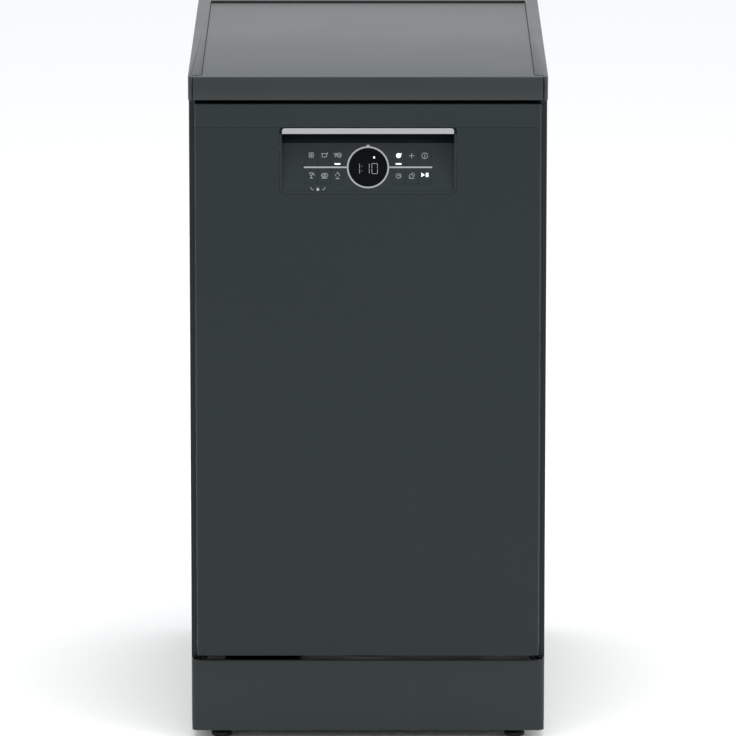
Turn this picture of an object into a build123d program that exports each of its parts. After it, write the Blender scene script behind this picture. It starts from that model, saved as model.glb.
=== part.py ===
from build123d import *
import os
from math import cos, radians, sin

# Free-standing slimline dishwasher with its own worktop, in millimetres.
# Origin: floor level, middle of the footprint. +X to the right seen from the
# front, front face towards -Y, +Z up.

# Overall size
WIDTH = 448.0
DEPTH = 600.0
HEIGHT = 855.0

# Sheet and moulding walls
SHEET = 0.8
DOOR_SHEET = 1.0
TUB_WALL = 1.2
MOULDING = 2.5
PLINTH_WALL = 2.0
BASE_WALL = 3.0

# Worktop
WORKTOP_THICK = 30.0
WORKTOP_CORNER = 8.0
RIM_WIDTH = 16.5
FRONT_RIM = 15.0
REAR_RIM = 12.0
RIM_PROUD = 2.0
BOARD_THICK = 22.0
LEDGE = 7.0

# Outer casing
SIDE_INSET = 0.5
SIDE_BOTTOM = 20.0
SIDE_SETBACK = 30.0
FRONT_FLANGE = 6.5
REAR_FLANGE = 12.0
REAR_SETBACK = 7.2
REAR_PANEL_BOTTOM = 130.0
SCREW_SHANK = 1.6
SCREW_HEAD = 4.0
SCREW_LENGTH = 8.0
SCREW_CLEARANCE = 0.15
SCREW_ROWS = 4
SCREW_MARGIN = 30.0

# Base, plinth and feet
BASE_BOTTOM = 17.0
BASE_RIM = 62.0
BASE_SIDE_GAP = 2.7
BASE_SETBACK = 35.0
PLINTH_INSET = 10.0
PLINTH_SIDE_INSET = 1.0
PLINTH_BOTTOM = 13.2
PLINTH_HEIGHT = 92.0
PLINTH_RETURN = 18.0
PLINTH_EDGE = 7.0
FOOT_PAD = 13.0
FOOT_PAD_THICK = 6.0
FOOT_NECK = 8.0
FOOT_STEM = 5.0
FOOT_STEM_TOP = 72.0
FOOT_INSET_X = 38.0
FOOT_INSET_FRONT = 38.0
FOOT_INSET_REAR = 65.0
FOOT_BOSS = 11.0
FOOT_GAP = 3.0
STEM_CLEARANCE = 0.08

# Door
DOOR_THICK = 55.0
DOOR_SIDE_INSET = 8.5
DOOR_TOP_GAP = 4.7
DOOR_RETURN = 50.0
DOOR_EDGE = 2.5
STRIP_HEIGHT = 29.3
SEAM = 0.5
LINER_INSET = 2.5
LINER_RETURN = 20.0

# Hinge
HINGE_SETBACK = 24.0
HINGE_Z = 98.0
DOOR_ABOVE_HINGE = 15.6
HINGE_PIN = 4.0
HINGE_CLEARANCE = 0.05
ARM_PLATE = 2.5
ARM_BOSS = 8.0
ARM_HEIGHT = 70.0
ARM_GAP = 2.5
ARM_TO_DOOR = 1.5
ARM_LEG = (9.0, 22.0)
ARM_NECK = 7.0

# Handle recess and control panel
RECESS_HALF = 107.5
RECESS_DROP = 81.4
RECESS_CORNER = 5.0
RECESS_LIP = 1.2
PANEL_TILT = 16.0
PANEL_LENGTH = 61.0
WELL_DEPTH = 31.0
WELL_RISE = 12.0
TRIM_HEIGHT = 7.1
TRIM_DEPTH = 7.5
TRIM_LOWER = 0.8
TRIM_GAP = 0.1
DISPLAY_RISE = 30.6
RING_RADIUS = 26.3
RING_WIDTH = 2.0
RING_PEAK = 2.5
RING_PEAK_HALF = 5.0
ACCENT_PAST_KEYS = 1.35
ACCENT_HALF = 1.0
KEY_WIDTH = 15.9
KEY_HEIGHT = 19.2
KEY_SEAM = 0.2
KEY_COLUMNS = 3
KEY_TO_RING = 3.85
KEY_BAR_GAP = 0.3
KEY_CORNER = 1.0
KEY_PROUD = 0.25
KEY_STEM = 3.1
KEY_TRAVEL = 0.8
BOARD_CLEARANCE = 0.8
BOARD_SHEET = 1.6
BOARD_MARGIN_X = 16.0
BOARD_MARGIN_Z = 6.0

# Wash tub
TUB_FLOOR = 128.0
TUB_TOP_GAP = 27.0
TUB_SIDE_GAP = 23.5
TUB_REAR_GAP = 65.0
TUB_FLANGE = 20.0
TUB_CORNER = 10.0
GASKET_DEPTH = 4.0
GASKET_WIDTH = 8.0
GASKET_GAP = 0.4
GASKET_OFFSET = 4.0

# Hinge brackets and springs
BRACKET_PLATE = 2.5
BRACKET_SPAN = (14.0, 40.0)
BRACKET_TAB = 8.0
PIN_PROUD = 1.0
SPRING_RADIUS = 6.0
SPRING_WIRE = 1.6
SPRING_LOW = 30.0
SPRING_LENGTH = 120.0
SPRING_BEHIND = 60.0

# Door screws, lock and strike
DOOR_SCREWS = 5
COUNTERSINK = 3.4
DOOR_SCREW_Y = 14.0
DOOR_SCREW_REACH = 7.0
DOOR_SCREW_MARGIN = 10.0
LOCK_HALF = 28.0
LOCK_DEPTH = 18.0
LOCK_BOTTOM = 24.0
LOCK_INSET = 1.0
LOCK_GAP = 0.4
LOCK_TOP_GAP = 0.3
LOCK_POCKET_ROOM = 3.0
LOCK_WALL = 1.5
LOCK_FLOOR = 2.0
STRIKE_HALF = 6.0
STRIKE_DEPTH = 17.0
STRIKE_THICK = 4.5
STRIKE_RISE = 13.0
STRIKE_ROOM = 3.5
STRIKE_SIDE_ROOM = 2.0
LEVER_PIN = 3.0
LEVER_ROOM = 1.6
LEVER_HALF = 4.5
LEVER_BEHIND = 10.0
LEVER_BELOW = 8.0

# Detergent and rinse-aid dispenser
DISPENSER_WIDTH = 168.0
DISPENSER_HEIGHT = 108.0
DISPENSER_DEPTH = 24.0
DISPENSER_RISE = 300.0
DISPENSER_PROUD = 3.0
DISPENSER_CORNER = 12.0
DISPENSER_WALL = 4.0
DISPENSER_MARGIN = 8.0
WELL_MARGIN = 6.0
LID_WIDTH = 84.0
LID_HEIGHT = 52.0
LID_THICK = 2.6
LID_GAP = 0.4
LID_CORNER = 6.0
LID_LOW = 2.0
RINSE_RADIUS = 19.0
RINSE_THICK = 4.0
RINSE_PLUG = 6.0
RINSE_PLUG_GAP = 0.3
RINSE_PORT = 16.0
RINSE_BAR_INSET = 4.0
RINSE_BAR_HALF = 2.5

# Sump, filter, softener, duct and rails
SUMP_RADIUS = 118.0
SUMP_MOUTH = 112.0
SUMP_WALL = 8.0
SUMP_DEPTH = 61.0
SUMP_FLOOR = 12.0
POST_RADIUS = 12.0
POST_RISE = 38.0
RUNNING = 0.05
CUP_RADIUS = 36.0
CUP_OFFSET = 52.0
CUP_CLEARANCE = 0.4
CUP_DROP = 40.0
CUP_RISE = 6.0
CUP_WALL = 2.0
CUP_FLOOR = 3.0
CUP_FIN_HALF = 2.5
SALT_PLACE = (-138.0, 150.0)
SALT_RADIUS = 30.0
SALT_WALL = 6.0
SALT_CAP_LIP = 4.0
SALT_CAP_THICK = 9.0
SALT_PLUG = 18.0
SALT_BAR_HALF = 4.0
SALT_BORE = 60.0
SOFTENER_HALF_X = 50.0
SOFTENER_FRONT = 85.0
SOFTENER_REAR = 60.0
SOFTENER_GAP = 2.0
DUCT_WIDTH = 22.0
DUCT_DEPTH = 9.0
DUCT_CORNER = 4.0
DUCT_FOOT_GAP = 4.0
RAIL_WIDTH = 10.0
RAIL_HEIGHT = 24.0
RAIL_WALL = 2.0
RAIL_LIP = 5.0
RAIL_RISE = 410.0
RAIL_FRONT_GAP = 15.0
RAIL_REAR_GAP = 10.0

# Pumps, valve and rear fittings
PUMP_RADIUS = 32.0
PUMP_LENGTH = 120.0
PUMP_VOLUTE = 34.0
PUMP_X = 30.0
PUMP_INLET = 14.0
PUMP_INLET_OVERLAP = 6.0
PUMP_TO_SUMP = 16.0
PUMP_BELOW_TUB = 3.0
VOLUTE_WIDTH = 26.0
MOTOR_STEP = 4.0
MOTOR_BELL = 0.7
DRAIN_PUMP_RADIUS = 24.0
DRAIN_PUMP_LENGTH = 60.0
DRAIN_PUMP_STEP = 10.0
DRAIN_PUMP_NOSE = 16.0
DRAIN_PUMP_NOSE_SHARE = 0.6
INLET_RADIUS = 13.2
DRAIN_RADIUS = 10.5
GLAND_RADIUS = 9.0
FITTING_LENGTH = 25.0
FITTING_Z = 41.0
FITTING_NECK = 1.0
COLLAR_PROUD = 5.0
COLLAR_THICK = 4.0
VALVE_HALF = 17.0
VALVE_RISE = 15.0
VALVE_COIL = 12.0
VALVE_COIL_HEIGHT = 24.0
VALVE_GAP = 1.0
INLET_X = 150.0
DRAIN_X = 60.0
GLAND_X = -130.0
AIR_BREAK_MARGIN = 2.0
AIR_BREAK_HEIGHT = 320.0
AIR_BREAK_DEPTH = 220.0
AIR_BREAK_RISE = 60.0
AIR_BREAK_CORNER = 12.0

# Racks, spray arms and cutlery basket
RACK_FRONT_GAP = 15.0
RACK_REAR_GAP = 14.0
RACK_SIDE_GAP = 22.0
RACK_WIRE = 1.5
RACK_RIM = 2.5
WIRE_GAP = 0.05
FLOOR_LENGTHWISE = 9
FLOOR_CROSSWISE = 10
SIDE_UPRIGHTS = 6
END_UPRIGHTS = 5
GRID_SIDE_INSET = 14.0
GRID_END_INSET = 16.0
LOWER_FLOOR_RISE = 54.0
LOWER_HEIGHT = 190.0
UPPER_FLOOR_RISE = 322.0
UPPER_HEIGHT = 150.0
WHEEL_RADIUS = 12.0
WHEEL_WIDTH = 12.0
WHEEL_INSET = 50.0
WHEEL_ROOM = 3.0
WHEEL_GAP = 1.0
HANGER_HALF = 7.0
HANGER_LAP = 2.0
RUNNER_ROOM = 0.7
RUNNER_STEP = 5.0
RUNNER_INSET = 8.0
HUB_PIN = 9.0
HUB_DROP = 40.0
HUB_GAP = 0.1
HUB_CAP = 4.0
HUB_PLAY = 0.5
FEED_RADIUS = 8.0
FEED_DROP = 14.0
FEED_GAP = 1.0
ARM_REACH = 168.0
ARM_WIDTH = 44.0
ARM_THICK = 12.0
HUB_RADIUS = 22.0
LOWER_ARM_RISE = 24.0
BASKET_X = (92.0, 162.0)
BASKET_Y = (-190.0, 50.0)
BASKET_HEIGHT = 120.0
BASKET_WALL = 2.0
BASKET_CELLS = 3

# How far a cutting block runs past the face that it opens
CUT = 1.0

# Derived planes
front = -DEPTH / 2
back = DEPTH / 2
half = WIDTH / 2
worktop_z = HEIGHT - WORKTOP_THICK
side_outer = half - SIDE_INSET
side_inner = side_outer - SHEET
side_y = front + SIDE_SETBACK
rear_y = back - REAR_SETBACK
base_half = side_inner - BASE_SIDE_GAP
base_front = front + BASE_SETBACK
base_back = back - BASE_SETBACK
hinge_y = front + HINGE_SETBACK
door_half = half - DOOR_SIDE_INSET
door_bottom = HINGE_Z + DOOR_ABOVE_HINGE
door_top = worktop_z - DOOR_TOP_GAP
liner_y = front + DOOR_THICK
liner_half = door_half - LINER_INSET
seam_z = door_top - STRIP_HEIGHT
recess_z = seam_z - RECESS_DROP
gasket_y = liner_y + GASKET_GAP
flange_y = gasket_y + GASKET_DEPTH
tub_half = side_inner - TUB_SIDE_GAP - TUB_WALL
tub_back = back - TUB_REAR_GAP
tub_ceiling = worktop_z - TUB_TOP_GAP
tub_mid = (flange_y + tub_back) / 2
foot_x = half - FOOT_INSET_X
key_first = RING_RADIUS + KEY_TO_RING + KEY_WIDTH / 2
key_pitch = KEY_WIDTH + 2 * KEY_SEAM
accent_reach = key_first + (KEY_COLUMNS - 1) * key_pitch + KEY_WIDTH / 2 + ACCENT_PAST_KEYS
foot_rows = (front + FOOT_INSET_FRONT, back - FOOT_INSET_REAR)

TURN = {"x": Rot(0, 90, 0), "y": Rot(90, 0, 0), "z": Rot(0, 0, 0)}


def block(x, y, z):
    """Box between three pairs of planes."""
    size = (x[1] - x[0], y[1] - y[0], z[1] - z[0])
    return Pos((x[0] + x[1]) / 2, (y[0] + y[1]) / 2, (z[0] + z[1]) / 2) * Box(*size)


def rod(centre, radius, length, axis="z"):
    """Cylinder about a centre point, along one axis."""
    return Pos(*centre) * TURN[axis] * Cylinder(radius, length)


def prism(outline, x):
    """Solid along X over a (y, z) outline."""
    face = Plane.YZ * Polygon(*outline, align=None)
    return Pos(x[0], 0, 0) * extrude(face, x[1] - x[0])


def pair(shape):
    """A right-hand piece and its left-hand twin."""
    return [shape, mirror(shape, about=Plane.YZ)]


def save(node, *shapes):
    """Write the solids of one node to its own STEP file."""
    solids = [solid for shape in shapes for solid in shape.solids()]
    export_step(Compound(solids), f"parts/{node}.step")


# ---------------------------------------------------------------- casing

def worktop_frame():
    """Moulded surround with a ledge that the board rests on."""
    body = block((-half, half), (front, back), (worktop_z, HEIGHT))
    body = fillet(body.edges().filter_by(Axis.Z), WORKTOP_CORNER)
    pocket_x = half - RIM_WIDTH
    pocket_y = (front + FRONT_RIM, back - REAR_RIM)
    board_z = HEIGHT - RIM_PROUD - BOARD_THICK
    body -= block((-pocket_x, pocket_x), pocket_y, (board_z, HEIGHT + CUT))
    body -= block((-pocket_x, pocket_x), (front - CUT, back - REAR_RIM), (HEIGHT - RIM_PROUD, HEIGHT + CUT))
    opening_y = (pocket_y[0] + LEDGE, pocket_y[1] - LEDGE)
    body -= block((LEDGE - pocket_x, pocket_x - LEDGE), opening_y, (worktop_z - CUT, board_z + CUT))
    return body


def worktop_board():
    """Laminated board dropped into the surround."""
    x = half - RIM_WIDTH - SEAM / 2
    y = (front + FRONT_RIM + SEAM / 2, back - REAR_RIM - SEAM / 2)
    top = HEIGHT - RIM_PROUD
    return block((-x, x), y, (top - BOARD_THICK, top))


def rear_screw_places():
    """Centres of the screws that hold the rear panel to the side flanges."""
    low = REAR_PANEL_BOTTOM + SCREW_MARGIN
    step = (worktop_z - SCREW_MARGIN - low) / (SCREW_ROWS - 1)
    x = side_inner - REAR_FLANGE / 2
    return [(side * x, low + row * step) for side in (-1, 1) for row in range(SCREW_ROWS)]


def rear_screw_holes():
    """Clearance holes for those screws."""
    radius = SCREW_SHANK + SCREW_CLEARANCE
    return [rod((x, rear_y, z), radius, REAR_FLANGE, "y") for x, z in rear_screw_places()]


def side_panel():
    """Right-hand sheet with folded front and rear flanges."""
    z = (SIDE_BOTTOM, worktop_z)
    sheet = block((side_inner, side_outer), (side_y, rear_y), z)
    front_fold = block((side_outer - FRONT_FLANGE, side_inner), (side_y, side_y + SHEET), z)
    rear_fold = block((side_inner - REAR_FLANGE, side_inner), (rear_y - SHEET, rear_y), z)
    return sheet + front_fold + rear_fold - rear_screw_holes()


def rear_panel():
    """Flat sheet over the back, above the hose recess."""
    body = block((-side_inner, side_inner), (rear_y, rear_y + SHEET), (REAR_PANEL_BOTTOM, worktop_z))
    return body - rear_screw_holes()


def cabinet_screws():
    """Pan-head screws through the rear panel."""
    outer = rear_y + SHEET
    screws = []
    for x, z in rear_screw_places():
        shank = rod((x, outer - SCREW_LENGTH / 2, z), SCREW_SHANK, SCREW_LENGTH, "y")
        head = rod((x, outer + SCREW_SHANK / 2, z), SCREW_HEAD, SCREW_SHANK, "y")
        screws.append(shank + head)
    return screws


# ---------------------------------------------------------------- base

def base_tray():
    """Leak tray with the four threaded foot bosses."""
    body = block((-base_half, base_half), (base_front, base_back), (BASE_BOTTOM, BASE_RIM))
    inner = base_half - BASE_WALL
    body -= block((-inner, inner), (base_front + BASE_WALL, base_back - BASE_WALL),
                  (BASE_BOTTOM + BASE_WALL, BASE_RIM + CUT))
    for x in (-foot_x, foot_x):
        for y in foot_rows:
            body += rod((x, y, (BASE_BOTTOM + BASE_RIM) / 2), FOOT_BOSS, BASE_RIM - BASE_BOTTOM)
            body -= rod((x, y, BASE_RIM / 2), FOOT_STEM + STEM_CLEARANCE, 2 * BASE_RIM)
    for place in rear_fitting_places():
        radius = place[2] - FITTING_NECK + SCREW_CLEARANCE
        body -= rod((place[0], base_back, place[1]), radius, 4 * BASE_WALL, "y")
    return body


def foot(x, y):
    """Levelling foot: pad, collar and threaded stem."""
    pad = rod((x, y, FOOT_PAD_THICK / 2), FOOT_PAD, FOOT_PAD_THICK)
    neck_z = (FOOT_PAD_THICK, BASE_BOTTOM - FOOT_GAP)
    neck = rod((x, y, sum(neck_z) / 2), FOOT_NECK, neck_z[1] - neck_z[0])
    stem = rod((x, y, (FOOT_PAD_THICK + FOOT_STEM_TOP) / 2), FOOT_STEM, FOOT_STEM_TOP - FOOT_PAD_THICK)
    return pad + neck + stem


def plinth():
    """Kick board: front wall with short returns at both ends."""
    x = half - PLINTH_SIDE_INSET
    y = (front + PLINTH_INSET, front + PLINTH_INSET + PLINTH_RETURN)
    z = (PLINTH_BOTTOM, PLINTH_BOTTOM + PLINTH_HEIGHT)
    body = block((-x, x), y, z)
    corners = body.edges().filter_by(Axis.Z).group_by(Axis.Y)[0]
    body = fillet(corners, PLINTH_EDGE)
    top_front = body.faces().sort_by(Axis.Z)[-1].edges().group_by(Axis.Y)[0]
    body = fillet(top_front, PLINTH_WALL)
    inner = x - PLINTH_WALL
    hollow = block((-inner, inner), (y[0] + PLINTH_WALL, y[1] + CUT), (z[0] - CUT, z[1] + CUT))
    corners = hollow.edges().filter_by(Axis.Z).group_by(Axis.Y)[0]
    return body - fillet(corners, PLINTH_EDGE - PLINTH_WALL)


# ---------------------------------------------------------------- hinge


arm_outer = door_half - DOOR_SHEET - ARM_TO_DOOR
arm_x = (arm_outer - ARM_PLATE, arm_outer)
bracket_x = (arm_x[0] - ARM_GAP - BRACKET_PLATE, arm_x[0] - ARM_GAP)


def hinge_outline(points):
    """Offsets from the hinge pin turned into (y, z) places."""
    return [(hinge_y + y, HINGE_Z + z) for y, z in points]


def hinge_arm():
    """Right-hand arm: boss on the pin, cranked neck, leg up into the door."""
    near, far = ARM_LEG
    neck_z = 2 * ARM_NECK
    crank = [(2, -ARM_NECK), (ARM_BOSS, 0), (far, neck_z), (far, ARM_HEIGHT), (near, ARM_HEIGHT),
             (near, neck_z - 2), (2, ARM_NECK)]
    neck = prism(hinge_outline(crank), arm_x)
    boss = rod((sum(arm_x) / 2, hinge_y, HINGE_Z), ARM_BOSS, ARM_PLATE, "x")
    bore = rod((sum(arm_x) / 2, hinge_y, HINGE_Z), HINGE_PIN + HINGE_CLEARANCE, 3 * ARM_PLATE, "x")
    return neck + boss - bore


def hinge_bracket():
    """Right-hand plate on the base, with the pin pressed through it."""
    low = BASE_BOTTOM + BASE_WALL - HINGE_Z
    near, far = BRACKET_SPAN
    ear = ARM_BOSS
    outline = [(near, low), (far, low), (far, -20), (ear, ear), (-ear, ear), (-ear, -ear), (near, -30)]
    plate = prism(hinge_outline(outline), bracket_x)
    foot_y = (hinge_y + near, hinge_y + far)
    foot_z = (BASE_BOTTOM + BASE_WALL, BASE_BOTTOM + BASE_WALL + BRACKET_PLATE)
    tab = block((bracket_x[0] - BRACKET_TAB, bracket_x[0]), foot_y, foot_z)
    pin_x = (bracket_x[0], arm_x[1] + PIN_PROUD)
    pin = rod((sum(pin_x) / 2, hinge_y, HINGE_Z), HINGE_PIN, pin_x[1] - pin_x[0], "x")
    return plate + tab + pin


def door_spring():
    """Right-hand close-wound counterbalance spring beside the tub."""
    spring_x = tub_half + TUB_WALL + TUB_SIDE_GAP / 2
    centre = (spring_x, hinge_y + SPRING_BEHIND, SPRING_LOW + SPRING_LENGTH / 2)
    outer = rod(centre, SPRING_RADIUS, SPRING_LENGTH)
    return outer - rod(centre, SPRING_RADIUS - SPRING_WIRE, 2 * SPRING_LENGTH)


# ---------------------------------------------------------------- door


strike_z = (tub_ceiling + STRIKE_RISE, tub_ceiling + STRIKE_RISE + STRIKE_THICK)
lock_y = (liner_y - LOCK_INSET - LOCK_DEPTH, liner_y - SHEET - LOCK_GAP)
lever_place = (liner_y - LEVER_BEHIND, strike_z[0] - LEVER_BELOW)


def panel_plane(rise, out=0.0):
    """Plane on the sloping control panel, a distance up from its lower edge."""
    tilt = radians(PANEL_TILT)
    y = front + RECESS_LIP + rise * sin(tilt) - out * cos(tilt)
    z = recess_z + rise * cos(tilt) + out * sin(tilt)
    return Plane(origin=(0, y, z), x_dir=(1, 0, 0), z_dir=(0, -cos(tilt), sin(tilt)))


def on_panel(shape, x=0.0, rise=DISPLAY_RISE, up=0.0, out=0.0):
    """Move a shape made flat onto the control panel."""
    return panel_plane(rise + up) * Pos(x, 0, out) * shape


def recess_outline(wall):
    """Section of the handle recess, grown by a wall."""
    tilt = radians(PANEL_TILT)
    slope_y = front + RECESS_LIP + PANEL_LENGTH * sin(tilt)
    slope_z = recess_z + PANEL_LENGTH * cos(tilt)
    well_y = front + WELL_DEPTH
    well_z = seam_z + WELL_RISE
    mouth_y = front + TRIM_DEPTH + MOULDING
    mouth_z = seam_z - TRIM_LOWER - TRIM_HEIGHT
    return [
        (front - 5, recess_z - wall),
        (front + RECESS_LIP + wall / 2, recess_z - wall),
        (slope_y + wall, slope_z - wall / 2),
        (well_y + wall, slope_z + well_y - slope_y),
        (well_y + wall, well_z + wall),
        (mouth_y - wall, well_z + wall),
        (mouth_y - wall, mouth_z),
        (front - 5, mouth_z),
    ]


def recess_window(grow):
    """Deep block over the recess, round at its lower corners, grown by a wall."""
    x = RECESS_HALF + grow
    body = block((-x, x), (front - 20, back), (recess_z - grow, HEIGHT))
    lower = body.edges().filter_by(Axis.Y).group_by(Axis.Z)[0]
    return fillet(lower, RECESS_CORNER + grow)


def key_places():
    """Columns and rows of the twelve keys, from the middle outwards."""
    places = []
    for side in (-1, 1):
        for row in (1, -1):
            for column in range(KEY_COLUMNS):
                x = side * (key_first + column * key_pitch)
                places.append((x, row * (KEY_HEIGHT / 2 + ACCENT_HALF + KEY_SEAM + KEY_BAR_GAP)))
    return places


def arm_slot_y():
    """Room for the leg of a hinge arm, front to back."""
    return (hinge_y + ARM_LEG[0] - ARM_GAP, hinge_y + ARM_LEG[1] + ARM_GAP)


def outer_door_panel():
    """Painted front sheet with deep side and bottom returns."""
    z = (door_bottom, seam_z - SEAM)
    body = block((-door_half, door_half), (front, front + DOOR_RETURN), z)
    edges = body.edges().filter_by(Axis.Z).group_by(Axis.Y)[0]
    body = fillet(edges, DOOR_EDGE)
    inner = door_half - DOOR_SHEET
    hollow_y = (front + DOOR_SHEET, front + DOOR_RETURN + CUT)
    hollow = block((-inner, inner), hollow_y, (z[0] + DOOR_SHEET, z[1] + CUT))
    hollow = fillet(hollow.edges().filter_by(Axis.Z).group_by(Axis.Y)[0], DOOR_EDGE - DOOR_SHEET)
    body -= hollow
    skin = block((-half, half), (front - CUT, front + 2 * DOOR_EDGE), (0, HEIGHT))
    body -= recess_window(MOULDING + SEAM) & skin
    slot_z = (door_bottom - CUT, door_bottom + DOOR_SHEET + CUT)
    for slot in pair(block((arm_x[0] - ARM_TO_DOOR, inner), arm_slot_y(), slot_z)):
        body -= slot
    for x, z_screw in door_screw_places():
        body -= rod((x, liner_y - DOOR_SCREW_Y, z_screw), COUNTERSINK + SCREW_CLEARANCE, 3 * DOOR_SHEET, "x")
    return body


def control_fascia():
    """Top strip, handle recess and control panel in one moulding."""
    z = (seam_z, door_top)
    strip = block((-door_half, door_half), (front, front + DOOR_RETURN), z)
    strip = fillet(strip.edges().filter_by(Axis.Z).group_by(Axis.Y)[0], DOOR_EDGE)
    inner = door_half - MOULDING
    strip -= block((-inner, inner), (front + MOULDING, back), (z[0] - CUT, z[1] - MOULDING))
    shell_half = RECESS_HALF + MOULDING
    shell = prism(recess_outline(MOULDING), (-shell_half, shell_half)) & recess_window(MOULDING)
    shell -= block((-half, half), (front - 20, front), (0, HEIGHT))
    shelf_z = seam_z + SEAM
    shelf_y = (front, front + TRIM_DEPTH + MOULDING)
    shelf = block((-shell_half, shell_half), shelf_y, (shelf_z, shelf_z + MOULDING))
    cavity = prism(recess_outline(0), (-RECESS_HALF, RECESS_HALF)) & recess_window(0)
    body = strip + shell - cavity + shelf
    trim_z = (seam_z - TRIM_LOWER - TRIM_HEIGHT, shelf_z)
    body -= block((-RECESS_HALF, RECESS_HALF), (front - CUT, front + TRIM_DEPTH), trim_z)
    for x, up in key_places():
        hole = Box(KEY_WIDTH + 2 * KEY_SEAM, KEY_HEIGHT + 2 * KEY_SEAM, 4 * MOULDING)
        body -= on_panel(hole, x, up=up)
    body -= on_panel(Cylinder(RING_RADIUS - RING_WIDTH, 4 * MOULDING))
    return body


def grip_trim():
    """Bright bar along the upper lip of the handle recess."""
    top = seam_z - TRIM_LOWER
    x = RECESS_HALF - SEAM
    body = block((-x, x), (front, front + TRIM_DEPTH - TRIM_GAP), (top - TRIM_HEIGHT, top))
    upper = body.edges().filter_by(Axis.Y).group_by(Axis.Z)[-1]
    return fillet(upper, TRIM_HEIGHT / 2)


def display_window():
    """Dark disc over the display."""
    return on_panel(Cylinder(RING_RADIUS - RING_WIDTH - KEY_SEAM, MOULDING), out=KEY_PROUD - MOULDING / 2)


def display_trim():
    """Bright ring with its pointer, and the two accent bars."""
    thick = 2 * KEY_PROUD
    ring = Cylinder(RING_RADIUS, thick) - Cylinder(RING_RADIUS - RING_WIDTH, 3 * thick)
    peak_base = RING_RADIUS - RING_WIDTH / 2
    foot_z = peak_base - RING_WIDTH / 2
    tip = (0, RING_RADIUS + RING_PEAK)
    peak = Polygon((-RING_PEAK_HALF, foot_z), (RING_PEAK_HALF, foot_z), tip, align=None)
    peak = Pos(0, 0, -thick / 2) * extrude(peak, thick)
    peak -= Cylinder(RING_RADIUS - RING_WIDTH / 2, 3 * thick)
    start = RING_RADIUS + KEY_SEAM
    bar = Pos((start + accent_reach) / 2, 0, 0) * Box(accent_reach - start, 2 * ACCENT_HALF, thick)
    pieces = [ring + peak] + pair(bar)
    return [on_panel(piece, out=thick / 2) for piece in pieces]


def key(x, up):
    """Push key: cap flush with the panel and a stem behind it."""
    cap_thick = MOULDING + KEY_PROUD
    cap = Pos(0, 0, KEY_PROUD - cap_thick / 2) * Box(KEY_WIDTH, KEY_HEIGHT, cap_thick)
    cap = fillet(cap.edges().filter_by(Axis.Z), KEY_CORNER)
    stem = Pos(0, 0, -MOULDING - KEY_STEM / 2) * Box(KEY_WIDTH / 2, KEY_HEIGHT / 2, KEY_STEM)
    return on_panel(cap + stem, x, up=up)


def control_board():
    """Circuit board behind the keys and display."""
    gap = MOULDING + KEY_STEM + KEY_TRAVEL + BOARD_CLEARANCE
    board = Box(2 * accent_reach + BOARD_MARGIN_X, 2 * KEY_HEIGHT + BOARD_MARGIN_Z, BOARD_SHEET)
    return on_panel(board, out=-gap - BOARD_SHEET / 2)


def door_screw_places():
    """Side screws, spread up the height of the door."""
    low = door_bottom + ARM_HEIGHT + DOOR_SCREW_MARGIN
    step = (recess_z - low) / (DOOR_SCREWS - 1)
    x = door_half - DOOR_SHEET / 2
    return [(side * x, low + count * step) for side in (-1, 1) for count in range(DOOR_SCREWS)]


def door_screws():
    """Countersunk screws that tie the outer panel to the liner."""
    screws = []
    y = liner_y - DOOR_SCREW_Y
    for x, z in door_screw_places():
        inward = -1 if x > 0 else 1
        head = rod((x, y, z), COUNTERSINK, DOOR_SHEET, "x")
        shank_x = x + inward * (DOOR_SHEET / 2 + DOOR_SCREW_REACH / 2)
        screws.append(head + rod((shank_x, y, z), SCREW_SHANK, DOOR_SCREW_REACH, "x"))
    return screws


def inner_door_liner():
    """Stainless inner face with returns, cut for the dispenser and the strike."""
    z = (door_bottom + LINER_INSET, door_top - MOULDING - SEAM)
    body = block((-liner_half, liner_half), (liner_y - LINER_RETURN, liner_y), z)
    body = fillet(body.edges().filter_by(Axis.Y), TUB_CORNER / 2)
    inner = liner_half - SHEET
    hollow_y = (liner_y - LINER_RETURN - CUT, liner_y - SHEET)
    hollow = block((-inner, inner), hollow_y, (z[0] + SHEET, z[1] - SHEET))
    body -= fillet(hollow.edges().filter_by(Axis.Y), TUB_CORNER / 2 - SHEET)
    body -= dispenser_box(SEAM)
    slot_z = (strike_z[0] - STRIKE_ROOM, HEIGHT)
    slot_half = STRIKE_HALF + STRIKE_SIDE_ROOM
    body -= block((-slot_half, slot_half), (liner_y - LINER_RETURN - CUT, liner_y + CUT), slot_z)
    room_x = (arm_x[0] - ARM_TO_DOOR, liner_half + CUT)
    room_z = (z[0] - CUT, HINGE_Z + ARM_HEIGHT + ARM_GAP)
    for slot in pair(block(room_x, arm_slot_y(), room_z)):
        body -= slot
    for x, z_screw in door_screw_places():
        body -= rod((x, liner_y - DOOR_SCREW_Y, z_screw), SCREW_SHANK + SCREW_CLEARANCE, LINER_RETURN, "x")
    return body


def door_lock():
    """Lock case at the top of the door, open towards the strike."""
    lock_top = door_top - MOULDING - SEAM - SHEET - LOCK_TOP_GAP
    z = (strike_z[1] + STRIKE_ROOM - LOCK_BOTTOM, lock_top)
    body = block((-LOCK_HALF, LOCK_HALF), lock_y, z)
    pocket = STRIKE_HALF + LOCK_POCKET_ROOM
    body -= block((-pocket, pocket), (lock_y[0] + LOCK_WALL, liner_y), (z[0] + LOCK_FLOOR, HEIGHT))
    bore_length = 4 * pocket
    return body - rod((0, *lever_place), LEVER_PIN + HINGE_CLEARANCE, bore_length, "x")


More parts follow.
